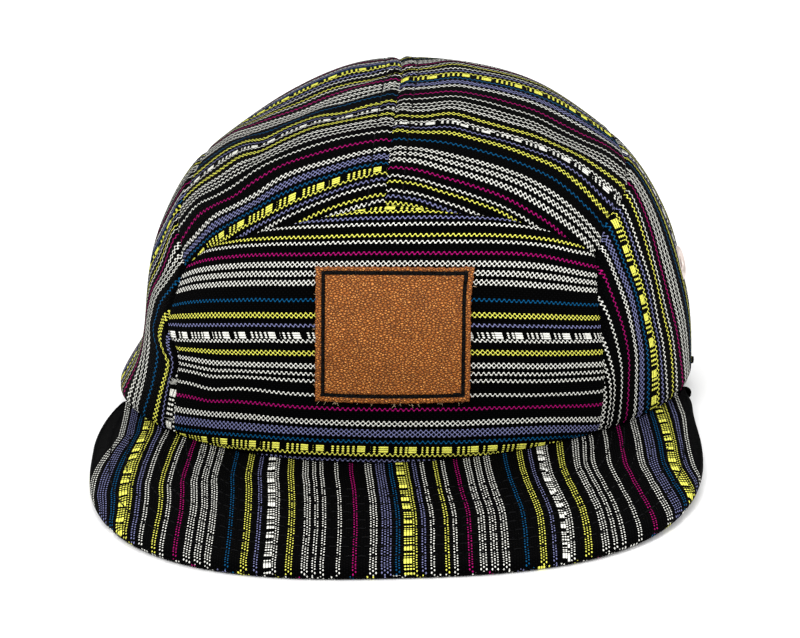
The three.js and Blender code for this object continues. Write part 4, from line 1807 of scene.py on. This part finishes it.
@dataclass(frozen=True)
class ArchBinding:
    """The tape that is folded over the cloth around the opening behind.

    Its fold is a row of distances out from the arch and heights above the crown.
    """

    crown: CrownForm
    arch: Arch = Arch()
    fold: Table = (
        (5.0, 0.05), (4.85, 0.4), (4.3, 0.52), (2.5, 0.58), (0.8, 0.55), (0.0, 0.3), (-0.4, -0.3),
        (-0.4, -1.2), (0.0, -1.8), (0.8, -2.05), (4.3, -2.05), (4.8, -1.9), (5.0, -1.5),
    )
    steps: int = 150

    def crown_at(self, x: Array, z: Array) -> tuple[Array, Array]:
        """Finds the back of the crown by its place across and its height.

        Args:
            x: Places across, in millimetres.
            z: Heights above the floor.

        Returns:
            The places on the crown, and the directions out of it.
        """
        turned = 180 - np.degrees(np.arcsin(np.clip(x / 88, -0.9, 0.9)))
        height = np.maximum(z, 0.1)
        for _ in range(12):
            angle = behind(turned)
            here = self.crown.point(angle, self.crown.rise_at(angle, height))
            turned = turned - np.degrees((x - here[..., 0]) / 92)
            height = height + (z - here[..., 2])
        return self.crown.spot(behind(turned), height)

    def build(self, finish: Material) -> Object:
        """Builds the folded tape from foot to foot of the arch.

        Args:
            finish: The tape.

        Returns:
            The tape.
        """
        turn = np.linspace(0.02, math.pi - 0.02, self.steps + 1)
        rings: list[Array] = []
        for distance, height in self.fold:
            x, z = self.arch.outline(turn, distance)
            point, normal = self.crown_at(x, np.maximum(z, 0.4))
            rings.append(point + normal * height)
        points = np.stack(rings, axis=1)
        points[..., 2] = np.maximum(points[..., 2], 0.1)
        weave = np.stack([length_along(points, 0), length_along(points, 1)], axis=-1)
        obj = make_object("arch_binding", points, grid_faces(points.shape), weave)
        return dress(obj, finish)


def seam_rays(piece: Object, origins: Array, directions: Array) -> list[SeamPath]:
    """Lays a line of places onto a piece of cloth.

    Args:
        piece: The cloth.
        origins: Places outside the cloth, in millimetres on the crown's form.
        directions: The way from each of them to the cloth.

    Returns:
        The line, in parts where the cloth doesn't reach all along.
    """
    tree = BVHTree.FromPolygons(
        [vertex.co for vertex in piece.data.vertices], [face.vertices for face in piece.data.polygons]
    )
    parts: list[list[tuple[Vector, Vector]]] = [[]]
    for origin, direction in zip(in_row_frame(origins), directions):
        place, normal, _, _ = tree.ray_cast(Vector(origin), Vector(direction), 0.05)
        if place is None:
            parts.append([])
        else:
            parts[-1].append((place, normal))
    lines = [np.array(part, dtype=float) for part in parts if len(part) > 3]
    return [SeamPath(line[:, 0] / MM + OUTLINE_MIDDLE, line[:, 1]) for line in lines]


# The finishes


@dataclass(frozen=True)
class Finish:
    """A finish that reads the surface coordinates of its piece, mostly in millimetres.

    Its relief is a height from 0 to 1, of a depth in metres.
    """

    name: str
    pattern: ShaderNodeTree
    colour: Colour
    roughness: float = 0.5
    specular: float = 0.5
    metallic: float = 0.0
    depth: float = 0.0003
    relief: float = 0.8

    def surface(self, n: NodeTree, place: Socket) -> Surface:
        """Returns the colour, the roughness and the relief at a place."""
        raise NotImplementedError

    def handled(
        self, n: NodeTree, place: Socket, scale: float, amount: float, shade: Socket = 1.0
    ) -> tuple[NodeSocket, NodeSocket]:
        """Makes the plain colour uneven, as on a used surface.

        Args:
            n: The material's tree.
            place: The place on the surface.
            scale: The scale of the unevenness.
            amount: How strong it is.
            shade: How much darker or lighter the colour is in any case: painted shade of the relief for
                thread and webbing, the tone of the polishing lines for metal.

        Returns:
            The colour, and a fine roughness from 0 to 1.
        """
        used = n.group(self.pattern, Place=place, Scale=scale, Amount=amount).outputs
        tone = n.math("MULTIPLY", used["Tone"], shade)
        return n.shade(n.vector(*self.colour[:3]), tone), used["Fine"]

    def build(self) -> Material:
        """Builds the material.

        Returns:
            The material, with its surface fed to its shader.
        """
        material = bpy.data.materials.new(self.name)
        material.use_nodes = True
        material.diffuse_color = self.colour
        n = NodeTree(material.node_tree)
        place = n.add("ShaderNodeUVMap", uv_map=SURFACE_UV).outputs[0]
        colour, roughness, height = self.surface(n, place)
        heights = {"Strength": self.relief, "Distance": self.depth, "Height": height}
        bump = n.fill(n.add("ShaderNodeBump"), heights)
        values = {
            "Base Color": colour,
            "Roughness": roughness,
            "Metallic": self.metallic,
            "Specular IOR Level": self.specular,
            "Normal": bump.outputs[0],
        }
        n.fill(material.node_tree.nodes["Principled BSDF"], values)
        return material


@dataclass(frozen=True)
class ClothFinish(Finish):
    """The weave, darkened a little by painted shade or not at all, with or without its slanting runs."""

    colour: Colour = (0.05, 0.05, 0.05, 1.0)
    roughness: float = 0.86
    specular: float = 0.015
    relief: float = 0.55
    # Painted shade: below 1 it dims the cloth's colour, as if the cloth were less lit.
    painted_shade_factor: float = 1.0
    links: float = 1.0

    def surface(self, n: NodeTree, place: Socket) -> Surface:
        """Builds the cloth, whose surface coordinates are a length and a row.

        Args:
            n: The material's tree.
            place: The surface coordinates.

        Returns:
            The colour, the roughness and the relief.
        """
        along, row = n.split(place)
        cloth = n.group(self.pattern, Along=along, Row=row, Fading=self.painted_shade_factor, Links=self.links)
        return cloth.outputs["Colour"], self.roughness, cloth.outputs["Height"]


@dataclass(frozen=True)
class LeatherFinish(Finish):
    """Grained tan leather: painted highlights on pebbles, painted shade in pores and channel, a darker cut
    edge.
    """

    depth: float = 0.00022
    relief: float = 0.9
    # Painted shade colour for the pores of the grain.
    pore_shade_colour: Colour = (0.03, 0.006, 0.0005, 1.0)
    # Painted highlight colour for the tops of the grain's pebbles.
    highlight_colour: Colour = (0.9, 0.38, 0.09, 1.0)
    edge_colour: Colour = (0.2, 0.05, 0.005, 1.0)
    # Painted shade colour for the pressed-in sewn channel.
    channel_shade_colour: Colour = (0.003, 0.002, 0.0015, 1.0)
    grain: float = 1.55

    def cells(self, n: NodeTree, place: Socket, feature: str) -> Node:
        """Returns the pebbles of the grain as a Voronoi node."""
        settings = {"feature": feature, "voronoi_dimensions": "2D"}
        return n.add("ShaderNodeTexVoronoi", place, 0.0, self.grain, **settings)

    def surface(self, n: NodeTree, place: Socket) -> Surface:
        """Builds the leather.

        Args:
            n: The material's tree.
            place: The place on the patch, from its middle.

        Returns:
            The colour, the roughness and the relief.
        """
        wobble = n.add("ShaderNodeTexNoise", place, 0.0, 0.9).outputs["Color"]
        drawn = n.add("ShaderNodeMapping", place, (0, 0, 0), (0, 0, -0.75), (0.72, 1.2, 1)).outputs[0]
        shift = (wobble, (0.55, 0.55, 0), drawn)
        bent = n.add("ShaderNodeVectorMath", *shift, operation="MULTIPLY_ADD").outputs[0]
        cells = self.cells(n, bent, "F1").outputs
        pebble = n.math("SUBTRACT", 1.0, cells["Distance"])
        pore = self.cells(n, bent, "DISTANCE_TO_EDGE").outputs["Distance"]
        open_pore = n.ramp(pore, 0.02, 0.24, 1.0, 0.0)
        luck = n.math("POWER", n.chance(cells["Position"]), 1.4)
        # Painted highlight: the tops of some pebbles of the grain are lighter.
        pebble_highlight = n.math("MULTIPLY", n.ramp(pebble, 0.6, 0.95, 0.0, 1.0), luck)
        base, fine = self.handled(n, place, 0.16, 0.8)
        colour = n.blend(pebble_highlight, base, self.highlight_colour)
        # Painted shade: the pores of the grain are darker.
        colour = n.blend(n.math("MULTIPLY", open_pore, 0.85), colour, self.pore_shade_colour)
        edge, channel = (line.shader_inside(n, *n.split(place)) for line in (PATCH_EDGE, SEWN_CHANNEL))
        colour = n.blend(n.ramp(edge, 0.15, 0.75, 0.85, 0.0), colour, self.edge_colour)
        # Painted shade: the sewn channel is nearly black where it is pressed in.
        sewn = n.ramp(n.math("ABSOLUTE", channel), 0.42, 0.62, 1.0, 0.0)
        roughness = n.math("MULTIPLY_ADD", fine, 0.25, self.roughness)
        relief = n.math("MULTIPLY_ADD", fine, 0.3, n.math("MULTIPLY_ADD", open_pore, -0.7, pebble))
        return n.blend(sewn, colour, self.channel_shade_colour), roughness, relief


@dataclass(frozen=True)
class ThreadFinish(Finish):
    """Twisted thread or yarn, with its strands wound around it."""

    depth: float = 0.0002
    twist: float = 1.1
    strands: float = 2.0

    def surface(self, n: NodeTree, place: Socket) -> Surface:
        """Builds the thread.

        Args:
            n: The material's tree.
            place: The place along the thread and around it.

        Returns:
            The colour, the roughness and the relief.
        """
        along, around = n.split(place)
        wound = n.math("MULTIPLY_ADD", along, 1 / self.twist, n.math("MULTIPLY", around, self.strands))
        strand = n.math("PINGPONG", wound, 0.5)
        # Painted shade: the thread is darker in the grooves between its strands.
        colour, fine = self.handled(n, place, 0.8, 0.5, n.ramp(strand, 0.0, 0.3, 0.6, 1.0))
        return colour, n.math("MULTIPLY_ADD", fine, 0.2, self.roughness), strand


@dataclass(frozen=True)
class WebbingFinish(Finish):
    """Black tape woven in a twill, with ribs across it."""

    rib: float = 0.9
    thread: float = 0.45

    def surface(self, n: NodeTree, place: Socket) -> Surface:
        """Builds the webbing.

        Args:
            n: The material's tree.
            place: The place along the tape and across it.

        Returns:
            The colour, the roughness and the relief.
        """
        along, across = n.split(place)
        slope = n.math("PINGPONG", across, 3.2)
        twill = n.math("PINGPONG", n.math("MULTIPLY_ADD", along, 1 / self.rib, slope), 0.5)
        threads = n.math("PINGPONG", n.math("DIVIDE", across, self.thread), 0.5)
        height = n.math("ADD", twill, n.math("MULTIPLY", threads, 0.6))
        # Painted shade and highlight: the webbing is darker in the hollows of its weave and lighter on its
        # ribs.
        colour, fine = self.handled(n, place, 0.5, 0.7, n.ramp(height, 0.1, 0.7, 0.5, 1.5))
        return colour, n.math("MULTIPLY_ADD", fine, 0.2, self.roughness), height


@dataclass(frozen=True)
class MetalFinish(Finish):
    """Satin metal with faint lines from its polishing, and small dull marks."""

    metallic: float = 1.0
    depth: float = 0.00003
    relief: float = 0.4
    line: float = 14.0

    def surface(self, n: NodeTree, place: Socket) -> Surface:
        """Builds the metal, which reads the place of its object and not the surface coordinates.

        Args:
            n: The material's tree.
            place: The surface coordinates, which are not used.

        Returns:
            The colour, the roughness and the relief.
        """
        place = n.add("ShaderNodeTexCoord").outputs["Object"]
        drawn = n.add("ShaderNodeVectorMath", place, (120, 120, 120 * self.line), operation="MULTIPLY")
        lines = n.noise(drawn.outputs[0], 2.0)
        shade = n.math("MULTIPLY_ADD", lines, 0.14, 0.93)
        colour, fine = self.handled(n, n.shade(place, 1 / MM), 0.35, 0.35, shade)
        uneven = n.math("MULTIPLY_ADD", lines, 0.18, n.math("MULTIPLY", fine, 0.12))
        return colour, n.math("ADD", uneven, self.roughness), lines


# Camera, light and floor


@dataclass(frozen=True)
class Camera:
    """The camera, in millimetres from the origin of the cap."""

    place: Triple = (-5.03, -756.41, 246.98)
    forward: Triple = (0.00705, 0.96141, -0.27503)
    upward: Triple = (0.03679, 0.2746, 0.96085)
    focal_pixels: float = 2704.0
    image_width: float = 800.0

    def build(self) -> None:
        """Adds the camera and makes it the scene's own."""
        data = bpy.data.cameras.new("camera")
        data.sensor_fit = "HORIZONTAL"
        data.sensor_width = 36.0
        data.lens = self.focal_pixels / self.image_width * data.sensor_width
        data.clip_start = 0.05
        data.clip_end = 20.0
        obj = bpy.data.objects.new("camera", data)
        forward = Vector(self.forward).normalized()
        right = forward.cross(Vector(self.upward)).normalized()
        turn = Matrix((right, right.cross(forward), -forward)).transposed().to_4x4()
        obj.matrix_world = Matrix.Translation(Vector(self.place) * MM) @ turn
        bpy.context.scene.collection.objects.link(obj)
        bpy.context.scene.camera = obj


@dataclass(frozen=True)
class SoftBox:
    """One large soft light that points at the cap, in metres and watts."""

    name: str
    place: Triple
    size: float
    power: float

    def build(self) -> None:
        """Adds the light."""
        data = bpy.data.lights.new(self.name, "AREA")
        data.shape = "DISK"
        data.size = self.size
        data.energy = self.power
        obj = bpy.data.objects.new(self.name, data)
        obj.location = self.place
        aim = Vector((0, 0, 0.04)) - Vector(self.place)
        obj.rotation_euler = aim.to_track_quat("-Z", "Y").to_euler()
        bpy.context.scene.collection.objects.link(obj)


@dataclass(frozen=True)
class Studio:
    """The pale floor and the soft light around the cap."""

    floor_half: float = 6000.0
    floor_height: float = -0.1
    sky_strength: float = 0.95
    boxes: tuple[SoftBox, ...] = (
        SoftBox("key_light", (-0.7, -1.1, 1.3), 0.9, 17.0),
        SoftBox("fill_light", (1.2, -0.9, 0.8), 1.0, 9.0),
        SoftBox("top_light", (0.1, 0.5, 1.6), 1.2, 10.0),
    )

    def build(self) -> None:
        """Adds the floor, the sky and the lights."""
        signs = np.array([[-1, -1], [1, -1], [1, 1], [-1, 1]])
        corners = np.column_stack([signs * self.floor_half, np.full(4, self.floor_height)])
        floor = make_object("floor", corners + OUTLINE_MIDDLE, [(0, 1, 2, 3)])
        floor.data.materials.append(self.floor_finish())
        world = bpy.data.worlds.new("studio")
        world.use_nodes = True
        sky = world.node_tree.nodes["Background"]
        sky.inputs["Color"].default_value = (1, 1, 1, 1)
        sky.inputs["Strength"].default_value = self.sky_strength
        bpy.context.scene.world = world
        bpy.context.scene.view_settings.view_transform = "Standard"
        for box in self.boxes:
            box.build()

    def floor_finish(self) -> Material:
        """Builds the finish of the floor.

        Returns:
            A matt white.
        """
        material = bpy.data.materials.new("floor")
        material.use_nodes = True
        values = {"Base Color": (0.93, 0.93, 0.93, 1), "Roughness": 0.9, "Specular IOR Level": 0.1}
        NodeTree(material.node_tree).fill(material.node_tree.nodes["Principled BSDF"], values)
        return material


# Where the rows of the weave lie


FRONT_LAY = StripeLay(
    stations=(0, 0.06, 0.12, 0.2, 0.3, 0.5, 0.7, 0.85, 1),
    lines=(
        (0, (66.4, 68.8, 71.1, 73.7, 76.1, 78.8, 78.3, 75.1, 69.1)),
        (16, (55.2, 59.1, 61.7, 64.3, 66.4, 68.7, 68.2, 65.6, 58.7)),
        (28.5, (48.1, 51.3, 53.8, 56.3, 58.4, 60.9, 60.4, 57.5, 52.5)),
        (42.5, (40.5, 42.9, 45, 47.3, 49.5, 52, 51.5, 48.9, 45)),
        (54, (35.2, 37.1, 38.8, 40.8, 42.9, 45.2, 44.4, 41.9, 38.5)),
        (65.5, (31.6, 32.6, 33.4, 34.9, 36.5, 38.3, 37.6, 35, 31.9)),
        (78, (24.6, 25.5, 25.8, 28, 28.8, 29.9, 29.2, 26.9, 24.2)),
        (90.5, (16.3, 17.5, 18.7, 20.2, 21.2, 22.2, 21.6, 19.9, 16.1)),
        (108, (4.6, 6, 7.3, 8.8, 10.3, 11.5, 10.6, 9.1, 6.7)),
    ),
)
TOP_LAY_RIGHT = StripeLay(
    stations=(0, 8, 16, 24, 32, 40, 48, 56, 64, 70),
    lines=(
        (104, (0.5, -1, -3.5, -6, -8, -10.5, -13, -17, -21, -24)),
        (124, (12.7, 11.1, 8.7, 6.8, 4.8, 2, -1, -4.5, -8.5, -12)),
        (132.5, (18, 17.2, 15, 13.5, 12.3, 10.7, 7.3, 3.7, -0.5, -4)),
        (144, (24.1, 23.1, 22.3, 20.9, 20, 18.8, 16.9, 12.3, 7.8, 5)),
        (150.5, (28.7, 27, 27.3, 25.8, 24.9, 24.1, 23.4, 19.5, 13.2, 12)),
        (160.5, (33, 31.5, 33.5, 31, 30.5, 30.5, 31, 30, 26.5, 24.5)),
        (167.5, (37, 35.3, 37.8, 35.3, 34.2, 35, 35.7, 36.5, 34.3, 33)),
        (177, (42.5, 41.5, 44.2, 42.2, 40.5, 41, 40.5, 42.3, 44, 42)),
        (192, (51.2, 52.3, 54.8, 53, 51.3, 51.7, 51.9, 54.4, 59.5, 58)),
        (203, (61.4, 61.8, 65, 62.9, 62, 62.5, 64.5, 68, 69, 68)),
        (210.5, (68, 69.2, 74, 71.2, 70.4, 71.5, 74.6, 76.5, 78.8, 77)),
        (216.5, (74.5, 76.5, 81, 79, 78.8, 79.5, 83, 85, 87, 86)),
        (223.5, (81, 83, 92, 87, 86, 87, 90, 92, 94, 93)),
        (231.5, (88, 90, 101, 95, 94, 95, 97, 99, 101, 100)),
        (303, (132, 134, 140, 139, 138, 139, 141, 143, 145, 144)),
    ),
)
TOP_LAY_LEFT = StripeLay(
    stations=(0, 8, 16, 24, 32, 40, 48, 56, 64, 70),
    lines=(
        (116.5, (3.4, 2.2, 1, -0.5, -2, -3, -3.5, -3, -4, -5)),
        (103.5, (11.9, 10.9, 9.4, 8.4, 7.2, 6.4, 6.5, 6.7, 5, 4)),
        (99, (14.5, 13.8, 12.7, 12.1, 11.3, 10, 9.5, 9.8, 9, 8)),
        (90.5, (20.2, 19.4, 18.5, 18.5, 18.1, 15.5, 15.9, 17.5, 15, 15)),
        (84, (24.3, 24, 23.8, 23.6, 23.7, 22.5, 20.6, 23, 24.7, 21)),
        (78, (28.5, 28.3, 28.5, 28.3, 28, 28, 26.2, 27.5, 32, 31.5)),
        (59.5, (38.6, 37.8, 38.5, 40.3, 39, 38, 43.4, 43.8, 46.5, 48.5)),
        (42.5, (47.5, 45, 44, 49, 49.5, 47, 56, 62.5, 62, 62)),
        (36, (53, 51.5, 51, 54, 54, 54, 62, 68, 70, 70)),
        (28.5, (58.3, 54.5, 53.4, 58, 57.8, 59, 64, 76, 78, 78)),
        (20.5, (64.2, 62, 64.4, 66, 64.3, 66.5, 73, 87, 89, 89)),
        (15.5, (69.5, 68, 73, 75, 73.3, 74, 79, 93.5, 96, 96)),
        (7.5, (77.6, 76, 80.4, 83.3, 82.3, 82.5, 85.5, 101, 104, 104)),
        (1, (84.5, 82, 85.7, 89.2, 89.7, 88, 90, 106, 109, 109)),
        (-5.5, (92.5, 88, 93.9, 96.5, 98, 97.5, 99, 112, 115, 115)),
        (-64, (130.5, 127, 133.5, 135, 136, 135, 137, 149, 152, 152)),
    ),
)
SIDE_LAY_RIGHT = StripeLay(
    stations=(0, 0.2, 0.4, 0.6, 0.8, 1),
    lines=(
        (65.5, (0.5, 0.5, -2.5, -5.5, -9, -13)),
        (84, (10.5, 10.2, 10, 7.2, 3, -2)),
        (95, (17, 16.3, 16, 14.9, 11, 6)),
        (103.5, (25.5, 24, 22, 20.8, 18.5, 16.5)),
        (111, (34, 30, 27.5, 27, 25, 23.5)),
        (116.5, (38, 35.5, 32, 31, 31, 30.5)),
        (124, (49, 42, 38, 36.3, 37.5, 37.5)),
        (144, (66, 58, 53, 51.5, 53, 52)),
        (244, (128, 120, 115, 113, 115, 114)),
    ),
)
SIDE_LAY_LEFT = StripeLay(
    stations=(0, 0.2, 0.37, 0.45, 0.6, 0.8, 1),
    lines=(
        (60, (-6, -6.5, -9, -5, -10, -17, -22)),
        (51.5, (2.5, 1.8, -1, -0.8, -3, -10, -16)),
        (47, (5.5, 4.5, 2.5, 3.3, 0, -7, -12)),
        (42.5, (10, 7.5, 5, 10, 4.8, -3, -9)),
        (36, (18, 14, 13, 17, 10, 4, -2)),
        (24.5, (26, 26, 27, 25, 17.5, 9.5, 5)),
        (16, (40, 36, 33, 30, 21, 14, 16)),
        (-84, (102, 98, 95, 92, 83, 76, 78)),
    ),
)
BRIM_LAY = StripeLay(
    stations=(60, 80, 100, 110, 120, 130, 140, 160),
    lines=(
        (-21, (-92, -97, -97, -95, -95, -95, -95, -95)),
        (-19.3, (-79, -83.8, -84.2, -82.3, -81.8, -81.8, -81.8, -81.8)),
        (-17.5, (-77.8, -82.6, -83, -81.1, -80.6, -80.6, -80.6, -80.6)),
        (-13, (-75.4, -78.8, -80, -79, -78.4, -78.3, -78.3, -78.3)),
        (-4.5, (-70.5, -72.5, -73.2, -72.8, -72.7, -72.7, -72.4, -72.4)),
        (8.5, (-60.3, -62.2, -63.3, -62.8, -62.5, -62.8, -63, -63)),
        (24.5, (-50.4, -50.9, -52, -51.5, -51.1, -51.2, -51.4, -51.8)),
        (36, (-43.9, -43.9, -44.6, -44.1, -43.9, -43.8, -43.8, -44.2)),
        (84, (-13, -12.9, -12.5, -12, -11.6, -11.5, -11.5, -12)),
        (124, (15.5, 15.5, 15.9, 16.3, 16.8, 17.6, 17.6, 17.1)),
        (144, (29.3, 29.3, 29.5, 30, 30.8, 31.6, 31.8, 31.3)),
        (160.5, (39.8, 39.8, 39.8, 40.3, 41.3, 42.4, 42.6, 41.6)),
        (177, (51.8, 51.9, 50.8, 51.7, 52.9, 53.9, 54.2, 54)),
        (192, (62.6, 62.1, 61.5, 62.4, 63.5, 64.8, 65.4, 65.5)),
        (211.5, (76.1, 75.9, 75.1, 76, 77.3, 78.5, 79.5, 80)),
        (219, (82, 80.4, 79.8, 80.9, 82.1, 83.2, 84.3, 85)),
        (220.5, (83, 81.4, 80.8, 81.9, 83.1, 84.2, 85.3, 86)),
        (222.5, (94, 92, 91, 92, 93, 94, 95, 96)),
    ),
)


# The whole cap


@dataclass(frozen=True)
class Finishes:
    """All finishes of the cap, built once."""

    cloth: Material
    top_cloth: Material
    brim_cloth: Material
    leather: Material
    thread: Material
    pale_yarn: Material
    fibre: Material
    webbing: Material
    eyelet: Material
    keeper: Material


def build_finishes() -> Finishes:
    """Builds the materials and the node groups that they share.

    Returns:
        The finishes.
    """
    weave, used = StripedCloth().build_group(), handled_group()
    return Finishes(
        cloth=ClothFinish("striped_cloth", weave).build(),
        # Painted shade: the top panels' cloth is dimmed a little, as if less lit.
        top_cloth=ClothFinish("painted_shade_striped_cloth", weave, painted_shade_factor=0.88).build(),
        brim_cloth=ClothFinish("taut_striped_cloth", weave, links=0.0).build(),
        leather=LeatherFinish("tan_leather", used, (0.30, 0.086, 0.009, 1.0), 0.42, 0.22).build(),
        thread=ThreadFinish("black_thread", used, (0.003, 0.003, 0.0035, 1.0), 0.7, 0.06).build(),
        pale_yarn=ThreadFinish("pale_yarn", used, (0.72, 0.72, 0.67, 1.0), 0.75, 0.1).build(),
        fibre=ThreadFinish("leather_fibre", used, (0.78, 0.58, 0.36, 1.0), 0.7, 0.1).build(),
        webbing=WebbingFinish("black_webbing", used, (0.009, 0.009, 0.01, 1.0), 0.75, 0.12).build(),
        eyelet=MetalFinish("satin_eyelet", used, (0.62, 0.54, 0.5, 1.0), 0.3).build(),
        keeper=MetalFinish("brushed_keeper", used, (0.58, 0.58, 0.59, 1.0), 0.25, line=30.0).build(),
    )


@dataclass(frozen=True)
class Keeper:
    """The metal frame around the strap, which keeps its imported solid."""

    node: str = "strap_buckle"
    edge: float = 0.4

    def build(self, solid: Object, finish: Material) -> None:
        """Rounds the edges of the solid and gives it its metal.

        Args:
            solid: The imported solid.
            finish: The metal.
        """
        rounding = solid.modifiers.new("rounding", "BEVEL")
        rounding.width = self.edge * MM
        rounding.segments = 3
        rounding.limit_method = "ANGLE"
        for place in solid.material_slots:
            place.material = finish
        if not solid.material_slots:
            solid.data.materials.append(finish)


@dataclass(frozen=True)
class Sewing:
    """The lines of thread on the crown, and the yarn ends at one seam."""

    crown: CrownForm
    cut: PanelCut
    tuft_heights: tuple[float, ...] = (13.0, 23.3, 23.9)
    seam_heights: Pair = (9.5, 54.7)
    knot_place: Pair = (89.5, 11.0)

    def centre_lines(self, panel: TopPanel, cloth: Object) -> list[SeamPath]:
        """Finds the line of stitches beside the seam over the middle of the crown.

        Args:
            panel: The top panel on one side of the seam.
            cloth: Its cloth.

        Returns:
            The line on that side.
        """
        seam, length = panel.seam_profile()
        distance = np.arange(0.5, length[-1], 1.0)
        middle = np.stack([np.interp(distance, length, seam[:, axis]) for axis in range(3)], axis=-1)
        outward = unit((middle - np.array([0.0, *self.cut.seam_hub])) * np.array([0.0, 1.0, 1.0]))
        origins = middle + outward * 12 + np.array([panel.side * panel.stitch_line, 0.0, 0.0])
        return seam_rays(cloth, origins, -outward)

    def tufts(self) -> tuple[Array, Array]:
        """Finds the pale yarn ends of the left front seam.

        Returns:
            Where they come out of it, and where they point.
        """
        luck = np.random.default_rng(5)
        height, count = np.array(self.tuft_heights), len(self.tuft_heights)
        low, high = self.seam_heights
        angle = smooth_table(self.cut.front_left, (height - low) / (high - low))
        point, normal = self.crown.spot(angle, height)
        aside, upward = luck.normal(-0.2, 0.3, count), luck.uniform(0.3, 1.0, count)
        slant = np.column_stack([aside, np.zeros(count), upward])
        return point - normal * 0.5, unit(normal * 0.7 + slant)

    def knot(self) -> SeamPath:
        """Finds the short thread that stands out of the right side panel.

        Returns:
            Its line.
        """
        angle, height = self.knot_place
        point, normal = self.crown.spot(angle, height + np.linspace(-1.5, 1.5, 8))
        return SeamPath(point + normal * 0.45, normal)


def build_crown(crown: CrownForm, cut: PanelCut, finishes: Finishes) -> list[Object]:
    """Builds the five panels, and the thread and yarn ends on them.

    Args:
        crown: The form of the crown.
        cut: How it is cut into panels.
        finishes: The materials.

    Returns:
        The pieces.
    """
    left_top, left_side = {"side": -1, "corner_share": 0.7}, {"side": -1, "eyelet_place": LEFT_EYELET}
    tops = (
        TopPanel("top_cloth_left", "top_panel_left", crown, cut, TOP_LAY_LEFT, 1.0, **left_top),
        TopPanel("top_cloth_right", "top_panel_right", crown, cut, TOP_LAY_RIGHT, 2.0),
    )
    panels = (
        SidePanel("side_cloth_left", "side_panel_left", crown, cut, SIDE_LAY_LEFT, 3.0, 150, **left_side),
        SidePanel("side_cloth_right", "side_panel_right", crown, cut, SIDE_LAY_RIGHT, 4.0, 150),
        FrontPanel("front_cloth", "front_panel", crown, cut, FRONT_LAY),
    )
    top_cloths = [top.build(finishes.top_cloth) for top in tops]
    cloths = top_cloths + [panel.build(finishes.cloth) for panel in panels]
    sewing = Sewing(crown, cut)
    lines = [line for top, cloth in zip(tops, top_cloths) for line in sewing.centre_lines(top, cloth)]
    knot = StitchRun("thread_end", length=3.0, half_width=0.7, half_height=0.9, sink=0.4)
    ends = YarnEnds("seam_yarn_ends", (1.2, 2.4), 0.12, 0.35, 6, 3)
    return cloths + [
        StitchRun("crown_stitching", lift=0.05).build(lines, finishes.thread),
        knot.build([sewing.knot()], finishes.thread),
        ends.build(*sewing.tufts(), finishes.pale_yarn),
    ]


def build_brim(crown: CrownForm, finishes: Finishes) -> list[Object]:
    """Builds the brim and its stitching.

    Args:
        crown: The form of the crown.
        finishes: The materials.

    Returns:
        The pieces.
    """
    brim = Brim(crown, BRIM_LAY)
    lines = [brim.stitch_path(distance) for distance in brim.stitch_lines]
    return [
        brim.build_cover(finishes.brim_cloth),
        brim.build_underside(finishes.brim_cloth),
        StitchRun("brim_stitching").build(lines, finishes.thread),
    ]


def build_patch(crown: CrownForm, finishes: Finishes) -> list[Object]:
    """Builds the leather patch with its thread and its fibres.

    Args:
        crown: The form of the crown.
        finishes: The materials.

    Returns:
        The pieces.
    """
    patch = LeatherPatch(crown)
    thread = StitchRun("patch_stitching", 2.6, 0.25, 0.42, 0.34, 0.05, 0.22)
    fibres = YarnEnds("patch_fibres", (0.35, 1.1), 0.07, 0.5, 2, 7)
    return [
        patch.build(finishes.leather),
        thread.build(patch.sewn_lines(), finishes.thread),
        fibres.build(*patch.frayed_edge(), finishes.fibre),
    ]


def build_fittings(crown: CrownForm, finishes: Finishes) -> list[Object]:
    """Builds the eyelets, the strap and the binding of the opening.

    Args:
        crown: The form of the crown.
        finishes: The materials.

    Returns:
        The pieces.
    """
    return [
        Eyelet("ring_right", "eyelet_right", crown, RIGHT_EYELET).build(finishes.eyelet),
        Eyelet("ring_left", "eyelet_left", crown, LEFT_EYELET).build(finishes.eyelet),
        BackStrap(crown).build(finishes.webbing),
        ArchBinding(crown).build(finishes.webbing),
    ]


def main() -> None:
    """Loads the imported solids, dresses them, and reports each piece."""
    logging.basicConfig(level=logging.INFO, format="%(name)s: %(message)s")
    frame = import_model()
    Camera().build()
    Studio().build()
    finishes = build_finishes()
    crown = CrownForm()
    pieces = build_crown(crown, PanelCut(), finishes)
    pieces += build_brim(crown, finishes)
    pieces += build_patch(crown, finishes)
    pieces += build_fittings(crown, finishes)
    keeper = Keeper()
    keeper.build(frame["nodes"][keeper.node], finishes.keeper)
    for piece in pieces:
        LOG.info("%s with %d faces", piece.name, len(piece.data.polygons))


if __name__ == "__main__":
    main()
